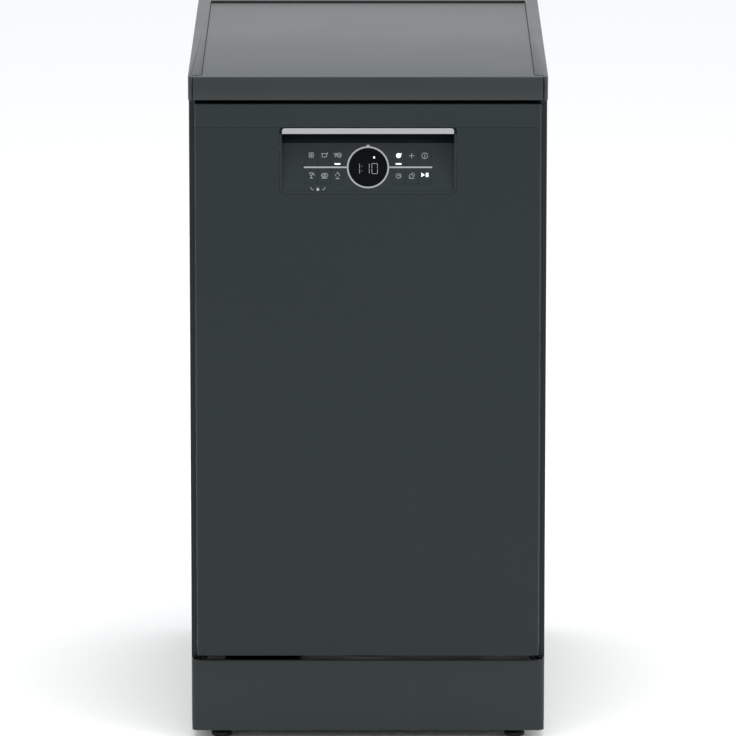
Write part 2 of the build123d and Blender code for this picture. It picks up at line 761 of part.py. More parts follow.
def latch_lever():
    """Sprung lever that holds the strike from below."""
    y, z = lever_place
    reach = strike_z[0] - LEVER_ROOM
    body = block((-STRIKE_HALF, STRIKE_HALF), (y - LEVER_HALF, y + LEVER_HALF), (z, reach))
    body += rod((0, y, z), LEVER_HALF, 2 * STRIKE_HALF, "x")
    return body + rod((0, y, z), LEVER_PIN, 4 * STRIKE_HALF, "x")


def door_strike():
    """Tongue on the tub flange that enters the lock."""
    tongue = block((-STRIKE_HALF, STRIKE_HALF), (liner_y - STRIKE_DEPTH, flange_y), strike_z)
    return fillet(tongue.edges().filter_by(Axis.Z).group_by(Axis.Y)[0], STRIKE_HALF / 2)


# ---------------------------------------------------------------- dispenser


dispenser_z = TUB_FLOOR + DISPENSER_RISE
lid_x = -DISPENSER_WIDTH / 2 + DISPENSER_MARGIN + LID_WIDTH / 2
lid_z = dispenser_z + LID_LOW + LID_HEIGHT / 2
rinse_place = (DISPENSER_WIDTH / 2 - DISPENSER_MARGIN - RINSE_RADIUS, dispenser_z + DISPENSER_HEIGHT / 2)


def dispenser_box(gap=0.0):
    """Envelope of the dispenser body, grown by a gap."""
    x = DISPENSER_WIDTH / 2 + gap
    z = (dispenser_z - gap, dispenser_z + DISPENSER_HEIGHT + gap)
    body = block((-x, x), (liner_y - DISPENSER_DEPTH, liner_y + DISPENSER_PROUD), z)
    return fillet(body.edges().filter_by(Axis.Y), DISPENSER_CORNER + gap)


def dispenser_housing():
    """Moulded body with the detergent well and the rinse-aid port."""
    well_x = (lid_x - LID_WIDTH / 2 + WELL_MARGIN, lid_x + LID_WIDTH / 2 - WELL_MARGIN)
    well_y = (liner_y - DISPENSER_DEPTH + DISPENSER_WALL, liner_y + DISPENSER_PROUD + CUT)
    well_z = (lid_z - LID_HEIGHT / 2 + WELL_MARGIN, lid_z + LID_HEIGHT / 2 - WELL_MARGIN)
    body = dispenser_box() - block(well_x, well_y, well_z)
    return body - rod((rinse_place[0], liner_y, rinse_place[1]), RINSE_RADIUS / 2, RINSE_PORT, "y")


def dispenser_lid():
    """Cover that slides up from the detergent well."""
    y = liner_y + DISPENSER_PROUD + LID_GAP
    x = (lid_x - LID_WIDTH / 2, lid_x + LID_WIDTH / 2)
    body = block(x, (y, y + LID_THICK), (lid_z - LID_HEIGHT / 2, lid_z + LID_HEIGHT / 2))
    return fillet(body.edges().filter_by(Axis.Y), LID_CORNER)


def rinse_aid_cap():
    """Quarter-turn cap with a finger bar, kept clear of the sliding lid."""
    y = liner_y + DISPENSER_PROUD + LID_GAP
    x, z = rinse_place
    disc = rod((x, y + RINSE_THICK / 4, z), RINSE_RADIUS, RINSE_THICK / 2, "y")
    plug = rod((x, y - RINSE_PLUG / 2, z), RINSE_RADIUS / 2 - RINSE_PLUG_GAP, RINSE_PLUG, "y")
    bar_half = RINSE_RADIUS - RINSE_BAR_INSET
    bar_z = (z - RINSE_BAR_HALF, z + RINSE_BAR_HALF)
    bar = block((x - bar_half, x + bar_half), (y, y + RINSE_THICK), bar_z)
    return disc + plug + bar


# ---------------------------------------------------------------- tub


cup_place = (CUP_OFFSET, tub_mid - CUP_OFFSET)
rail_z = TUB_FLOOR + RAIL_RISE


def rounded_cavity(grow, y):
    """Inside shape of the tub, grown by a wall."""
    x = tub_half + grow
    body = block((-x, x), y, (TUB_FLOOR - grow, tub_ceiling + grow))
    return fillet(body.edges().filter_by(Axis.Y), TUB_CORNER + grow)


def tub():
    """Stainless wash tub with a front flange and floor openings."""
    flange_half = tub_half + TUB_FLANGE
    flange_z = (TUB_FLOOR - TUB_FLANGE, tub_ceiling + TUB_FLANGE)
    flange = block((-flange_half, flange_half), (flange_y, flange_y + TUB_WALL), flange_z)
    body = flange + rounded_cavity(TUB_WALL, (flange_y, tub_back + TUB_WALL))
    body -= rounded_cavity(0, (flange_y - CUT, tub_back))
    body -= rod((0, tub_mid, TUB_FLOOR), SUMP_MOUTH, TUB_FLANGE)
    return body - rod((*SALT_PLACE, TUB_FLOOR), SALT_RADIUS + CUT, TUB_FLANGE)


def tub_gasket():
    """Lip seal around the tub mouth."""
    inner = tub_half + GASKET_OFFSET
    outer = inner + GASKET_WIDTH
    low = TUB_FLOOR - GASKET_OFFSET
    high = tub_ceiling + GASKET_OFFSET
    y = (gasket_y, flange_y)
    body = block((-outer, outer), y, (low - GASKET_WIDTH, high + GASKET_WIDTH))
    body = fillet(body.edges().filter_by(Axis.Y), TUB_CORNER + GASKET_WIDTH)
    hole = block((-inner, inner), (y[0] - CUT, y[1] + CUT), (low, high))
    return body - fillet(hole.edges().filter_by(Axis.Y), TUB_CORNER)


def sump():
    """Water bowl under the tub floor with the spray post."""
    top = TUB_FLOOR - TUB_WALL
    body = rod((0, tub_mid, top - SUMP_DEPTH / 2), SUMP_RADIUS, SUMP_DEPTH)
    bowl_depth = SUMP_DEPTH - SUMP_FLOOR
    body -= rod((0, tub_mid, top - bowl_depth / 2 + CUT), SUMP_RADIUS - SUMP_WALL, bowl_depth + 2 * CUT)
    body -= pump_inlet(SCREW_CLEARANCE)
    post_low = top - bowl_depth
    post_high = TUB_FLOOR + POST_RISE
    return body + rod((0, tub_mid, (post_low + post_high) / 2), POST_RADIUS, post_high - post_low)


def filter_plate():
    """Flat strainer let into the tub floor."""
    plate = rod((0, tub_mid, TUB_FLOOR - TUB_WALL / 2), SUMP_MOUTH - CUP_CLEARANCE, TUB_WALL)
    plate -= rod((0, tub_mid, TUB_FLOOR), POST_RADIUS + CUP_CLEARANCE, 3 * TUB_WALL)
    return plate - rod((*cup_place, TUB_FLOOR), CUP_RADIUS + CUP_CLEARANCE, 3 * TUB_WALL)


def filter_cup():
    """Round filter cartridge with a grip fin, locked by a quarter turn."""
    low = TUB_FLOOR - CUP_DROP
    high = TUB_FLOOR + CUP_RISE
    body = rod((*cup_place, (low + high) / 2), CUP_RADIUS, high - low)
    body -= rod((*cup_place, (low + high) / 2 + CUP_FLOOR), CUP_RADIUS - CUP_WALL, high - low)
    fin_reach = CUP_RADIUS - CUP_WALL / 2
    fin_x = (cup_place[0] - fin_reach, cup_place[0] + fin_reach)
    fin_y = (cup_place[1] - CUP_FIN_HALF, cup_place[1] + CUP_FIN_HALF)
    return body + block(fin_x, fin_y, (low + CUP_FLOOR / 2, high))


def water_softener():
    """Resin tank with the salt filler neck up to the tub floor."""
    x = (SALT_PLACE[0] - SOFTENER_HALF_X, SALT_PLACE[0] + SOFTENER_HALF_X)
    y = (SALT_PLACE[1] - SOFTENER_FRONT, SALT_PLACE[1] + SOFTENER_REAR)
    tank = block(x, y, (BASE_BOTTOM + BASE_WALL + SOFTENER_GAP, BASE_RIM + SOFTENER_GAP))
    top = TUB_FLOOR - TUB_WALL
    neck = rod((*SALT_PLACE, (BASE_RIM + top) / 2), SALT_RADIUS + SALT_WALL, top - BASE_RIM)
    return tank + neck - rod((*SALT_PLACE, top), SALT_RADIUS, SALT_BORE)


def salt_cap():
    """Screw cap of the salt filler."""
    low = TUB_FLOOR + LID_GAP
    disc = rod((*SALT_PLACE, low + SALT_CAP_THICK / 4), SALT_RADIUS + SALT_CAP_LIP, SALT_CAP_THICK / 2)
    plug = rod((*SALT_PLACE, low - SALT_PLUG / 2), SALT_RADIUS - RUNNING, SALT_PLUG)
    x, y = SALT_PLACE
    bar_y = (y - SALT_BAR_HALF, y + SALT_BAR_HALF)
    bar = block((x - SALT_RADIUS, x + SALT_RADIUS), bar_y, (low, low + SALT_CAP_THICK))
    return disc + plug + bar


def rack_rail():
    """Right-hand channel on the tub wall for the upper rack."""
    x = (tub_half - RAIL_WIDTH, tub_half)
    y = (flange_y + RAIL_FRONT_GAP, tub_back - RAIL_REAR_GAP)
    body = block(x, y, (rail_z, rail_z + RAIL_HEIGHT))
    groove_z = (rail_z + RAIL_LIP, rail_z + RAIL_HEIGHT - RAIL_LIP)
    return body - block((x[0] - CUT, x[1] - RAIL_WALL), (y[0] - CUT, y[1] + CUT), groove_z)


def spray_feed_duct():
    """Riser on the rear wall that feeds the upper spray arm."""
    x = DUCT_WIDTH / 2
    body = block((-x, x), (tub_back - DUCT_DEPTH, tub_back), (TUB_FLOOR + DUCT_FOOT_GAP, feed_z + DUCT_WIDTH))
    return fillet(body.edges().filter_by(Axis.Z).group_by(Axis.Y)[0], DUCT_CORNER)


# ---------------------------------------------------------------- services


pump_y = tub_mid + SUMP_RADIUS + PUMP_TO_SUMP + PUMP_VOLUTE
pump_z = TUB_FLOOR - TUB_WALL - PUMP_VOLUTE - PUMP_BELOW_TUB


def rear_fitting_places():
    """Inlet, drain and mains inlet: place along X, height and radius."""
    places = ((INLET_X, INLET_RADIUS), (DRAIN_X, DRAIN_RADIUS), (GLAND_X, GLAND_RADIUS))
    return [(x, FITTING_Z, radius) for x, radius in places]


def rear_stub(x, z, radius):
    """Round spigot through the rear wall of the base tray."""
    neck = rod((x, base_back - BASE_WALL / 2, z), radius - FITTING_NECK, BASE_WALL, "y")
    return neck + rod((x, base_back + FITTING_LENGTH / 2, z), radius, FITTING_LENGTH, "y")


def inlet_valve():
    """Solenoid valve block with its threaded supply spigot."""
    inner = base_back - BASE_WALL
    low = BASE_BOTTOM + BASE_WALL + VALVE_GAP
    top = FITTING_Z + VALVE_RISE
    valve = block((INLET_X - VALVE_HALF, INLET_X + VALVE_HALF), (inner - 2 * VALVE_HALF, inner), (low, top))
    coil = rod((INLET_X, inner - VALVE_HALF, top + VALVE_COIL_HEIGHT / 2), VALVE_COIL, VALVE_COIL_HEIGHT)
    return valve + coil + rear_stub(*rear_fitting_places()[0])


def rear_fittings():
    """Drain spigot and mains inlet, each with a collar inside the wall."""
    inner = base_back - BASE_WALL
    pieces = []
    for x, z, radius in rear_fitting_places()[1:]:
        collar = rod((x, inner - COLLAR_THICK / 2, z), radius + COLLAR_PROUD, COLLAR_THICK, "y")
        pieces.append(collar + rear_stub(x, z, radius))
    return pieces


def pump_inlet(gap=0.0):
    """Short pipe from the sump wall to the pump."""
    y = (tub_mid + SUMP_RADIUS - SUMP_WALL - PUMP_INLET_OVERLAP, pump_y)
    return rod((PUMP_X, sum(y) / 2, pump_z), PUMP_INLET + gap, y[1] - y[0], "y")


def circulation_pump():
    """Pump volute with its motor, lying behind the sump."""
    volute = rod((PUMP_X, pump_y, pump_z), PUMP_VOLUTE, VOLUTE_WIDTH, "x")
    motor = rod((PUMP_X + PUMP_LENGTH / 2, pump_y, pump_z), PUMP_RADIUS - MOTOR_STEP, PUMP_LENGTH, "x")
    bell = rod((PUMP_X + PUMP_LENGTH * MOTOR_BELL, pump_y, pump_z), PUMP_RADIUS, PUMP_LENGTH / 2, "x")
    return volute + motor + bell + pump_inlet()


def drain_pump():
    """Small drain pump beside the main pump."""
    y = pump_y + DRAIN_PUMP_STEP
    z = BASE_RIM + DRAIN_PUMP_RADIUS
    x = PUMP_X - VOLUTE_WIDTH - DRAIN_PUMP_LENGTH
    body = rod((x, y, z), DRAIN_PUMP_RADIUS, DRAIN_PUMP_LENGTH, "x")
    nose = DRAIN_PUMP_RADIUS * DRAIN_PUMP_NOSE_SHARE
    return body + rod((x + DRAIN_PUMP_LENGTH / 2, y, z), nose, DRAIN_PUMP_NOSE, "x")


def air_break_chamber():
    """Flat moulded chamber between the tub and the left side panel."""
    x = (-side_inner + AIR_BREAK_MARGIN, -tub_half - TUB_WALL - AIR_BREAK_MARGIN)
    y = (tub_mid - AIR_BREAK_DEPTH / 2, tub_mid + AIR_BREAK_DEPTH / 2)
    low = TUB_FLOOR + AIR_BREAK_RISE
    body = block(x, y, (low, low + AIR_BREAK_HEIGHT))
    return fillet(body.edges().filter_by(Axis.X), AIR_BREAK_CORNER)


# ---------------------------------------------------------------- racks


rack_half = tub_half - RACK_SIDE_GAP
rack_y = (liner_y + RACK_FRONT_GAP, tub_back - RACK_REAR_GAP)
lower_floor = TUB_FLOOR + LOWER_FLOOR_RISE
upper_floor = TUB_FLOOR + UPPER_FLOOR_RISE
feed_z = upper_floor - FEED_DROP
hub_top = upper_floor - RACK_WIRE - HUB_GAP


def spread(low, high, count):
    """Evenly spaced places from low to high."""
    return [low + (high - low) * step / (count - 1) for step in range(count)]


def wire(start, end, radius=RACK_WIRE):
    """Round wire between two points."""
    start = Vector(*start)
    run = Vector(*end) - start
    aligned = Cylinder(radius, run.length, align=(Align.CENTER, Align.CENTER, Align.MIN))
    return Plane(origin=start, z_dir=run) * aligned


def rim(z):
    """Closed hoop of thick wire at one height."""
    ends = rack_half - RACK_RIM - WIRE_GAP
    sides = [wire((x, rack_y[0], z), (x, rack_y[1], z), RACK_RIM) for x in (-rack_half, rack_half)]
    front_rear = (rack_y[0] + RACK_RIM, rack_y[1] - RACK_RIM)
    return sides + [wire((-ends, y, z), (ends, y, z), RACK_RIM) for y in front_rear]


def wire_rack(floor, height):
    """Rack of welded wires: floor grid, three hoops and uprights."""
    step = RACK_RIM + RACK_WIRE + WIRE_GAP
    wires = rim(floor - step) + rim(floor + height / 2) + rim(floor + height)
    grid_half = rack_half - GRID_SIDE_INSET
    grid_y = (rack_y[0] + GRID_END_INSET, rack_y[1] - GRID_END_INSET)
    for x in spread(-grid_half, grid_half, FLOOR_LENGTHWISE):
        wires.append(wire((x, rack_y[0], floor), (x, rack_y[1], floor)))
    crosswise = floor + 2 * RACK_WIRE + WIRE_GAP
    for y in spread(*grid_y, FLOOR_CROSSWISE):
        wires.append(wire((-rack_half, y, crosswise), (rack_half, y, crosswise)))
    side_cell = (grid_y[1] - grid_y[0]) / (FLOOR_CROSSWISE - 1)
    foot = floor - RACK_WIRE
    for y in spread(grid_y[0] + side_cell / 2, grid_y[1] - side_cell / 2, SIDE_UPRIGHTS):
        for x in (-rack_half + step, rack_half - step):
            wires.append(wire((x, y, foot), (x, y, floor + height)))
    end_cell = 2 * grid_half / (FLOOR_LENGTHWISE - 1)
    inset = RACK_RIM + step
    for x in spread(-grid_half + end_cell / 2, grid_half - end_cell / 2, END_UPRIGHTS):
        for y in (rack_y[0] + inset, rack_y[1] - inset):
            wires.append(wire((x, y, foot), (x, y, floor + height)))
    return wires


def lower_rack():
    """Lower rack on four wheels."""
    parts = wire_rack(lower_floor, LOWER_HEIGHT)
    axle_z = TUB_FLOOR + WHEEL_ROOM + WHEEL_RADIUS
    hanger_top = lower_floor - 2 * RACK_RIM - RACK_WIRE - 2 * WIRE_GAP
    for side in (-1, 1):
        for y in (rack_y[0] + WHEEL_INSET, rack_y[1] - WHEEL_INSET):
            outer = rack_half + RACK_RIM + WHEEL_GAP + WHEEL_WIDTH
            hub_x = side * (outer - WHEEL_WIDTH / 2)
            wheel = rod((hub_x, y, axle_z), WHEEL_RADIUS, WHEEL_WIDTH, "x")
            plate_x = sorted((side * (rack_half - HANGER_LAP), side * (outer - WHEEL_WIDTH)))
            hanger = block(plate_x, (y - HANGER_HALF, y + HANGER_HALF), (axle_z - HANGER_HALF, hanger_top))
            parts.append(wheel + hanger)
    return parts


def upper_rack():
    """Upper rack with side runners and the spray feed pipe below."""
    parts = wire_rack(upper_floor, UPPER_HEIGHT)
    runner_z = (rail_z + RAIL_LIP + RUNNER_ROOM, rail_z + RAIL_HEIGHT - RAIL_LIP - RUNNER_ROOM)
    runner_x = (rack_half + RUNNER_STEP, tub_half - RAIL_WALL - RUNNER_ROOM)
    web_x = (rack_half + RACK_RIM + WIRE_GAP, rack_half + RUNNER_STEP)
    y = (rack_y[0] + RUNNER_INSET, rack_y[1] - RUNNER_INSET)
    parts += pair(block(runner_x, y, runner_z) + block(web_x, y, runner_z))
    pin = rod((0, tub_mid, hub_top - HUB_DROP / 2), HUB_PIN, HUB_DROP)
    feed_y = (tub_mid, tub_back - DUCT_DEPTH - FEED_GAP)
    feed = rod((0, sum(feed_y) / 2, feed_z), FEED_RADIUS, feed_y[1] - feed_y[0], "y")
    return parts + [pin + feed]


def spray_arm(hub_low, hub_high, bore_low, bore_high, blade_low, pin_radius):
    """Two-bladed spray arm bored to run on a pin."""
    blade = extrude(SlotOverall(2 * ARM_REACH, ARM_WIDTH), ARM_THICK)
    blade = fillet(blade.faces().sort_by(Axis.Z)[-1].edges(), ARM_THICK / 3)
    body = Pos(0, tub_mid, blade_low) * blade
    body += rod((0, tub_mid, (hub_low + hub_high) / 2), HUB_RADIUS, hub_high - hub_low)
    return body - rod((0, tub_mid, (bore_low + bore_high) / 2), pin_radius + RUNNING, bore_high - bore_low)


def lower_spray_arm():
    """Arm on the sump post."""
    post_top = TUB_FLOOR + POST_RISE
    blade_low = TUB_FLOOR + LOWER_ARM_RISE
    hub_low = blade_low - HUB_CAP
    return spray_arm(hub_low, post_top + HUB_CAP, hub_low - CUT, post_top + HUB_PLAY, blade_low, POST_RADIUS)


def upper_spray_arm():
    """Arm hung under the upper rack."""
    pin_low = hub_top - HUB_DROP
    hub_high = feed_z - FEED_RADIUS - FEED_GAP
    blade_low = pin_low + 2 * HUB_PLAY
    return spray_arm(pin_low - HUB_CAP, hub_high, pin_low - HUB_PLAY, hub_high + CUT, blade_low, HUB_PIN)


def cutlery_basket():
    """Open-topped basket that stands on the lower rack floor."""
    low = lower_floor + 3 * RACK_WIRE + 4 * WIRE_GAP
    body = block(BASKET_X, BASKET_Y, (low, low + BASKET_HEIGHT))
    pitch = (BASKET_Y[1] - BASKET_Y[0] - BASKET_WALL) / BASKET_CELLS
    for cell in range(BASKET_CELLS):
        y = BASKET_Y[0] + BASKET_WALL + cell * pitch
        x = (BASKET_X[0] + BASKET_WALL, BASKET_X[1] - BASKET_WALL)
        body -= block(x, (y, y + pitch - BASKET_WALL), (low + BASKET_WALL, low + BASKET_HEIGHT + CUT))
    return body


# ---------------------------------------------------------------- output

os.makedirs("parts", exist_ok=True)

save("worktop_frame", worktop_frame())
save("worktop_board", worktop_board())
save("left_side_panel", mirror(side_panel(), about=Plane.YZ))
save("right_side_panel", side_panel())
save("rear_panel", rear_panel())
save("cabinet_screws", *cabinet_screws())
save("base_tray", base_tray())
save("plinth", plinth())
save("hinge_brackets", *pair(hinge_bracket()))
save("door_springs", *pair(door_spring()))
save("tub", tub())
save("tub_gasket", tub_gasket())
save("door_strike", door_strike())
save("rack_rails", *pair(rack_rail()))
save("spray_feed_duct", spray_feed_duct())
save("sump", sump())
save("filter_plate", filter_plate())
save("circulation_pump", circulation_pump())
save("drain_pump", drain_pump())
save("water_softener", water_softener())
save("inlet_valve", inlet_valve())
save("rear_fittings", *rear_fittings())
save("air_break_chamber", air_break_chamber())

save("outer_door_panel", outer_door_panel())
save("control_fascia", control_fascia())
save("grip_trim", grip_trim())
save("display_window", display_window())
save("display_trim", *display_trim())
save("control_board", control_board())
save("inner_door_liner", inner_door_liner())
save("hinge_arms", *pair(hinge_arm()))
save("door_screws", *door_screws())
save("door_lock", door_lock())
save("latch_lever", latch_lever())
save("dispenser_housing", dispenser_housing())
save("dispenser_lid", dispenser_lid())
save("rinse_aid_cap", rinse_aid_cap())

for number, place in enumerate(key_places(), start=1):
    save(f"key_{number}", key(*place))

save("lower_rack", *lower_rack())
save("cutlery_basket", cutlery_basket())
save("lower_spray_arm", lower_spray_arm())
save("upper_rack", *upper_rack())
save("upper_spray_arm", upper_spray_arm())
save("filter_cup", filter_cup())
save("salt_cap", salt_cap())

for side, x in (("left", -foot_x), ("right", foot_x)):
    for end, y in zip(("front", "rear"), foot_rows):
        save(f"{end}_{side}_foot", foot(x, y))
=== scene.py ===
from math import cos, pi, radians, sin, tan

import bmesh
import bpy
from mathutils import Matrix, Vector


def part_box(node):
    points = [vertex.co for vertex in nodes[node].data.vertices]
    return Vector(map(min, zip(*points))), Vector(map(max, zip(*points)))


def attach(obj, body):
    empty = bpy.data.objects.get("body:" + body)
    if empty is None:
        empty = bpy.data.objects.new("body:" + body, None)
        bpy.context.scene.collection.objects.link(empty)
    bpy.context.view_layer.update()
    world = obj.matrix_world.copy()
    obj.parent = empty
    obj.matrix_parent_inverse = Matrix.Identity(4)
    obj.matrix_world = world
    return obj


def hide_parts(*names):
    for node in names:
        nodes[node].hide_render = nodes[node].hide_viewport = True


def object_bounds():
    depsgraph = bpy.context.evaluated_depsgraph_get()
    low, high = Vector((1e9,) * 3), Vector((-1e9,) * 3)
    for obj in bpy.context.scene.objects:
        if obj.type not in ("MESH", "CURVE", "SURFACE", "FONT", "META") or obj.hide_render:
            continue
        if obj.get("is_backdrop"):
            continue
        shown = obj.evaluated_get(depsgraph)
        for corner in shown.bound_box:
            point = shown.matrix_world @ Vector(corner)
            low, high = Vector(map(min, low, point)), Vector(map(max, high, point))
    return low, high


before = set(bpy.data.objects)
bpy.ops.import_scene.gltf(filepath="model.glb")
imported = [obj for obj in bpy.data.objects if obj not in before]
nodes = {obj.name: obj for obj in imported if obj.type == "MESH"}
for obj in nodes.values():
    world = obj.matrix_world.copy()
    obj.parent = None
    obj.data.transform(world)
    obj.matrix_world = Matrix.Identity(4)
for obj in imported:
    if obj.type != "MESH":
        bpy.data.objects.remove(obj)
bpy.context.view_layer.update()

MM = 0.001


# ---------------------------------------------------------------- studio
# A pale matt floor, an even white surround and three soft lamps. The camera stands far back on the
# middle line, a little above the worktop, and is tipped down to the front of the machine.

CAMERA_PLACE = (0.0, -9.153, 2.396)
CAMERA_TIP = 77.82
CAMERA_LENS = 353.6
FLOOR_SIZE = 30.0

camera = bpy.data.objects.new("camera", bpy.data.cameras.new("camera"))
bpy.context.scene.collection.objects.link(camera)
camera.location = CAMERA_PLACE
camera.rotation_euler = (radians(CAMERA_TIP), 0.0, 0.0)
camera.data.lens = CAMERA_LENS
camera.data.sensor_width = 36.0
bpy.context.scene.camera = camera
bpy.context.scene.view_settings.view_transform = "Standard"

surround = bpy.data.worlds.new("surround")
bpy.context.scene.world = surround
surround.use_nodes = True
surround.node_tree.nodes["Background"].inputs["Color"].default_value = (0.95, 0.96, 0.97, 1.0)
surround.node_tree.nodes["Background"].inputs["Strength"].default_value = 1.0


def soft_lamp(name, place, target, size, power):
    """A square lamp that faces a point."""
    lamp = bpy.data.lights.new(name, "AREA")
    lamp.size = size
    lamp.energy = power
    holder = bpy.data.objects.new(name, lamp)
    bpy.context.scene.collection.objects.link(holder)
    holder.location = place
    holder.rotation_euler = (Vector(target) - Vector(place)).to_track_quat("-Z", "Y").to_euler()


soft_lamp("overhead_lamp", (0.0, -0.8, 3.4), (0.0, 0.0, 0.5), 2.4, 60.0)
soft_lamp("right_lamp", (3.2, -2.2, 1.8), (0.0, -0.2, 0.5), 1.4, 45.0)
soft_lamp("left_lamp", (-3.4, -3.2, 2.0), (0.0, -0.2, 0.4), 2.0, 18.0)

floor_form = bmesh.new()
bmesh.ops.create_grid(floor_form, x_segments=4, y_segments=4, size=FLOOR_SIZE)
floor_mesh = bpy.data.meshes.new("floor")
floor_form.to_mesh(floor_mesh)
floor_form.free()
floor_paper = bpy.data.materials.new("floor_paper")
floor_paper.use_nodes = True
paper_shader = floor_paper.node_tree.nodes["Principled BSDF"]
paper_shader.inputs["Base Color"].default_value = (0.94, 0.94, 0.94, 1.0)
paper_shader.inputs["Roughness"].default_value = 0.9
floor_mesh.materials.append(floor_paper)
floor = bpy.data.objects.new("floor", floor_mesh)
bpy.context.scene.collection.objects.link(floor)
floor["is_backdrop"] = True


# ---------------------------------------------------------------- worktop
# A particle board faced with a dark laminate, let into a moulded surround. The front strip is
# bowed, the side mouldings stand a little proud of the board, and their ends cap the strip. A matt
# black strip along the rear lip is painted shade: it stands for the shadow in the gap there.

class Term:
    """A node's output that grows Math nodes when it is used in an expression."""

    def __init__(self, finish, socket):
        self.finish = finish
        self.socket = socket

    def maths(self, operation, first, second):
        return self.finish.node("Math", {"operation": operation}, {0: first, 1: second})

    def __add__(self, other):
        return self.maths("ADD", self, other)

    def __sub__(self, other):
        return self.maths("SUBTRACT", self, other)

    def __rsub__(self, other):
        return self.maths("SUBTRACT", other, self)

    def __mul__(self, other):
        return self.maths("MULTIPLY", self, other)

    __radd__ = __add__
    __rmul__ = __mul__


class Finish:
    """One surface finish: a Principled shader and the nodes that vary it."""

    def __init__(self, name, color, roughness, **constants):
        self.material = bpy.data.materials.new(name)
        self.material.use_nodes = True
        self.material.diffuse_color = (*color, 1.0)
        self.tree = self.material.node_tree
        self.shader = self.tree.nodes["Principled BSDF"]
        self.color = (*color, 1.0)
        self.roughness = roughness
        self.shader.inputs["Base Color"].default_value = self.color
        self.shader.inputs["Roughness"].default_value = roughness
        for socket, value in constants.items():
            self.shader.inputs[socket.replace("_", " ")].default_value = value

    def node(self, kind, settings, sockets, output=0):
        """Any node: its settings first, then the values or links of its sockets."""
        made = self.tree.nodes.new("ShaderNode" + kind)
        for name, value in settings.items():
            setattr(made, name, value)
        for name, value in sockets.items():
            if isinstance(value, Term):
                self.tree.links.new(value.socket, made.inputs[name])
            else:
                made.inputs[name].default_value = value
        return Term(self, made.outputs[output])

    def feed(self, socket, term):
        """Link a term to the shader."""
        self.tree.links.new(term.socket, self.shader.inputs[socket])

    def place(self, stretch=(1.0, 1.0, 1.0)):
        """Object coordinates, stretched along an axis."""
        at = self.node("TexCoord", {}, {}, output=3)
        return self.node("Mapping", {}, {"Vector": at, "Scale": stretch})

    def noise(self, per_metre, detail=2.0, stretch=(1.0, 1.0, 1.0)):
        """Soft noise with so many features to the metre."""
        sockets = {"Vector": self.place(stretch), "Scale": per_metre, "Detail": detail}
        return self.node("TexNoise", {}, sockets)

    def edges(self, radius, gain=4.0):
        """Mask of the edges within a radius."""
        eased = self.node("Bevel", {"samples": 4}, {"Radius": radius})
        flat = self.node("NewGeometry", {}, {}, output=1)
        alike = self.node("VectorMath", {"operation": "DOT_PRODUCT"}, {0: eased, 1: flat}, output=1)
        return self.node("Clamp", {}, {"Value": (1.0 - alike) * gain})

    def tint(self, mask, color, under=None):
        """Another colour over the base where a mask says."""
        sockets = {0: mask, 6: under or self.color, 7: (*color, 1.0)}
        mixed = self.node("Mix", {"data_type": "RGBA"}, sockets, output=2)
        self.feed("Base Color", mixed)
        return mixed

    def relief(self, height, distance, strength=1.0):
        """Bump from a height, so many metres deep."""
        sockets = {"Height": height, "Distance": distance, "Strength": strength}
        self.feed("Normal", self.node("Bump", {}, sockets))

    def gloss(self, pattern, swing):
        """Roughness that swings about its mean with a pattern."""
        self.feed("Roughness", pattern * swing + (self.roughness - swing / 2))


def laminate_finish():
    """Melamine laminate: a fine pressed grain with soft cloudy variation."""
    finish = Finish("worktop_laminate", (0.036, 0.045, 0.044), 0.37, Specular_IOR_Level=0.34)
    grain = finish.noise(1400.0, detail=3.0)
    clouds = finish.noise(7.0, detail=4.0)
    mottled = finish.tint(clouds * 0.35, (0.047, 0.057, 0.056))
    # Painted highlight: the edges are tinted lighter.
    finish.tint(finish.edges(0.0012) * 0.35, (0.08, 0.095, 0.094), under=mottled)
    finish.gloss(clouds * 0.5 + grain * 0.5, 0.12)
    finish.relief(grain, 0.00003)
    return finish


def moulded_finish(name, color, roughness, level=0.35):
    """Injection moulded plastic, spark-grained, painted a little lighter along its edges as a highlight."""
    finish = Finish(name, color, roughness, Specular_IOR_Level=level)
    grain = finish.noise(2600.0, detail=2.0)
    handling = finish.noise(14.0, detail=3.0)
    lighter = tuple(part * 1.7 + 0.012 for part in color)
    mottled = finish.tint(handling * 0.18, lighter)
    # Painted highlight: the edges are tinted lighter.
    finish.tint(finish.edges(0.0008) * 0.4, lighter, under=mottled)
    finish.gloss(handling * 0.6 + grain * 0.4, 0.14)
    finish.relief(grain, 0.00002)
    return finish


def block(form, low, high, ease=0.0, segments=3):
    """A block between two corners, its edges eased by a radius."""
    low, high = Vector(low), Vector(high)
    place = Matrix.Translation((low + high) / 2) @ Matrix.Diagonal((*(high - low), 1.0))
    corners = bmesh.ops.create_cube(form, size=1.0, matrix=place)["verts"]
    if ease:
        edges = list({edge for corner in corners for edge in corner.link_edges})
        bmesh.ops.bevel(form, geom=edges, offset=ease, offset_type="OFFSET", affect="EDGES",
                        segments=segments, profile=0.5, material=-1)


def raised(form, outline, place, depth, ease=0.0):
    """A flat outline given a thickness in its own frame, its edges eased by a radius."""
    corners = [form.verts.new(place @ Vector((*point, 0.0))) for point in outline]
    face = form.faces.new(corners)
    made = bmesh.ops.extrude_face_region(form, geom=[face])["geom"]
    lifted = [part for part in made if isinstance(part, bmesh.types.BMVert)]
    bmesh.ops.translate(form, vec=place.to_3x3() @ Vector((0.0, 0.0, depth)), verts=lifted)
    if ease:
        ends = set(corners) | set(lifted)
        edges = [edge for edge in form.edges if set(edge.verts) <= ends]
        bmesh.ops.bevel(form, geom=edges, offset=ease, offset_type="OFFSET", affect="EDGES",
                        segments=3, profile=0.5, material=-1, clamp_overlap=True)


def axes(first, second, third, origin=(0.0, 0.0, 0.0)):
    """A frame from its three directions and its origin."""
    turned = Matrix((first, second, third)).transposed().to_4x4()
    turned.translation = origin
    return turned


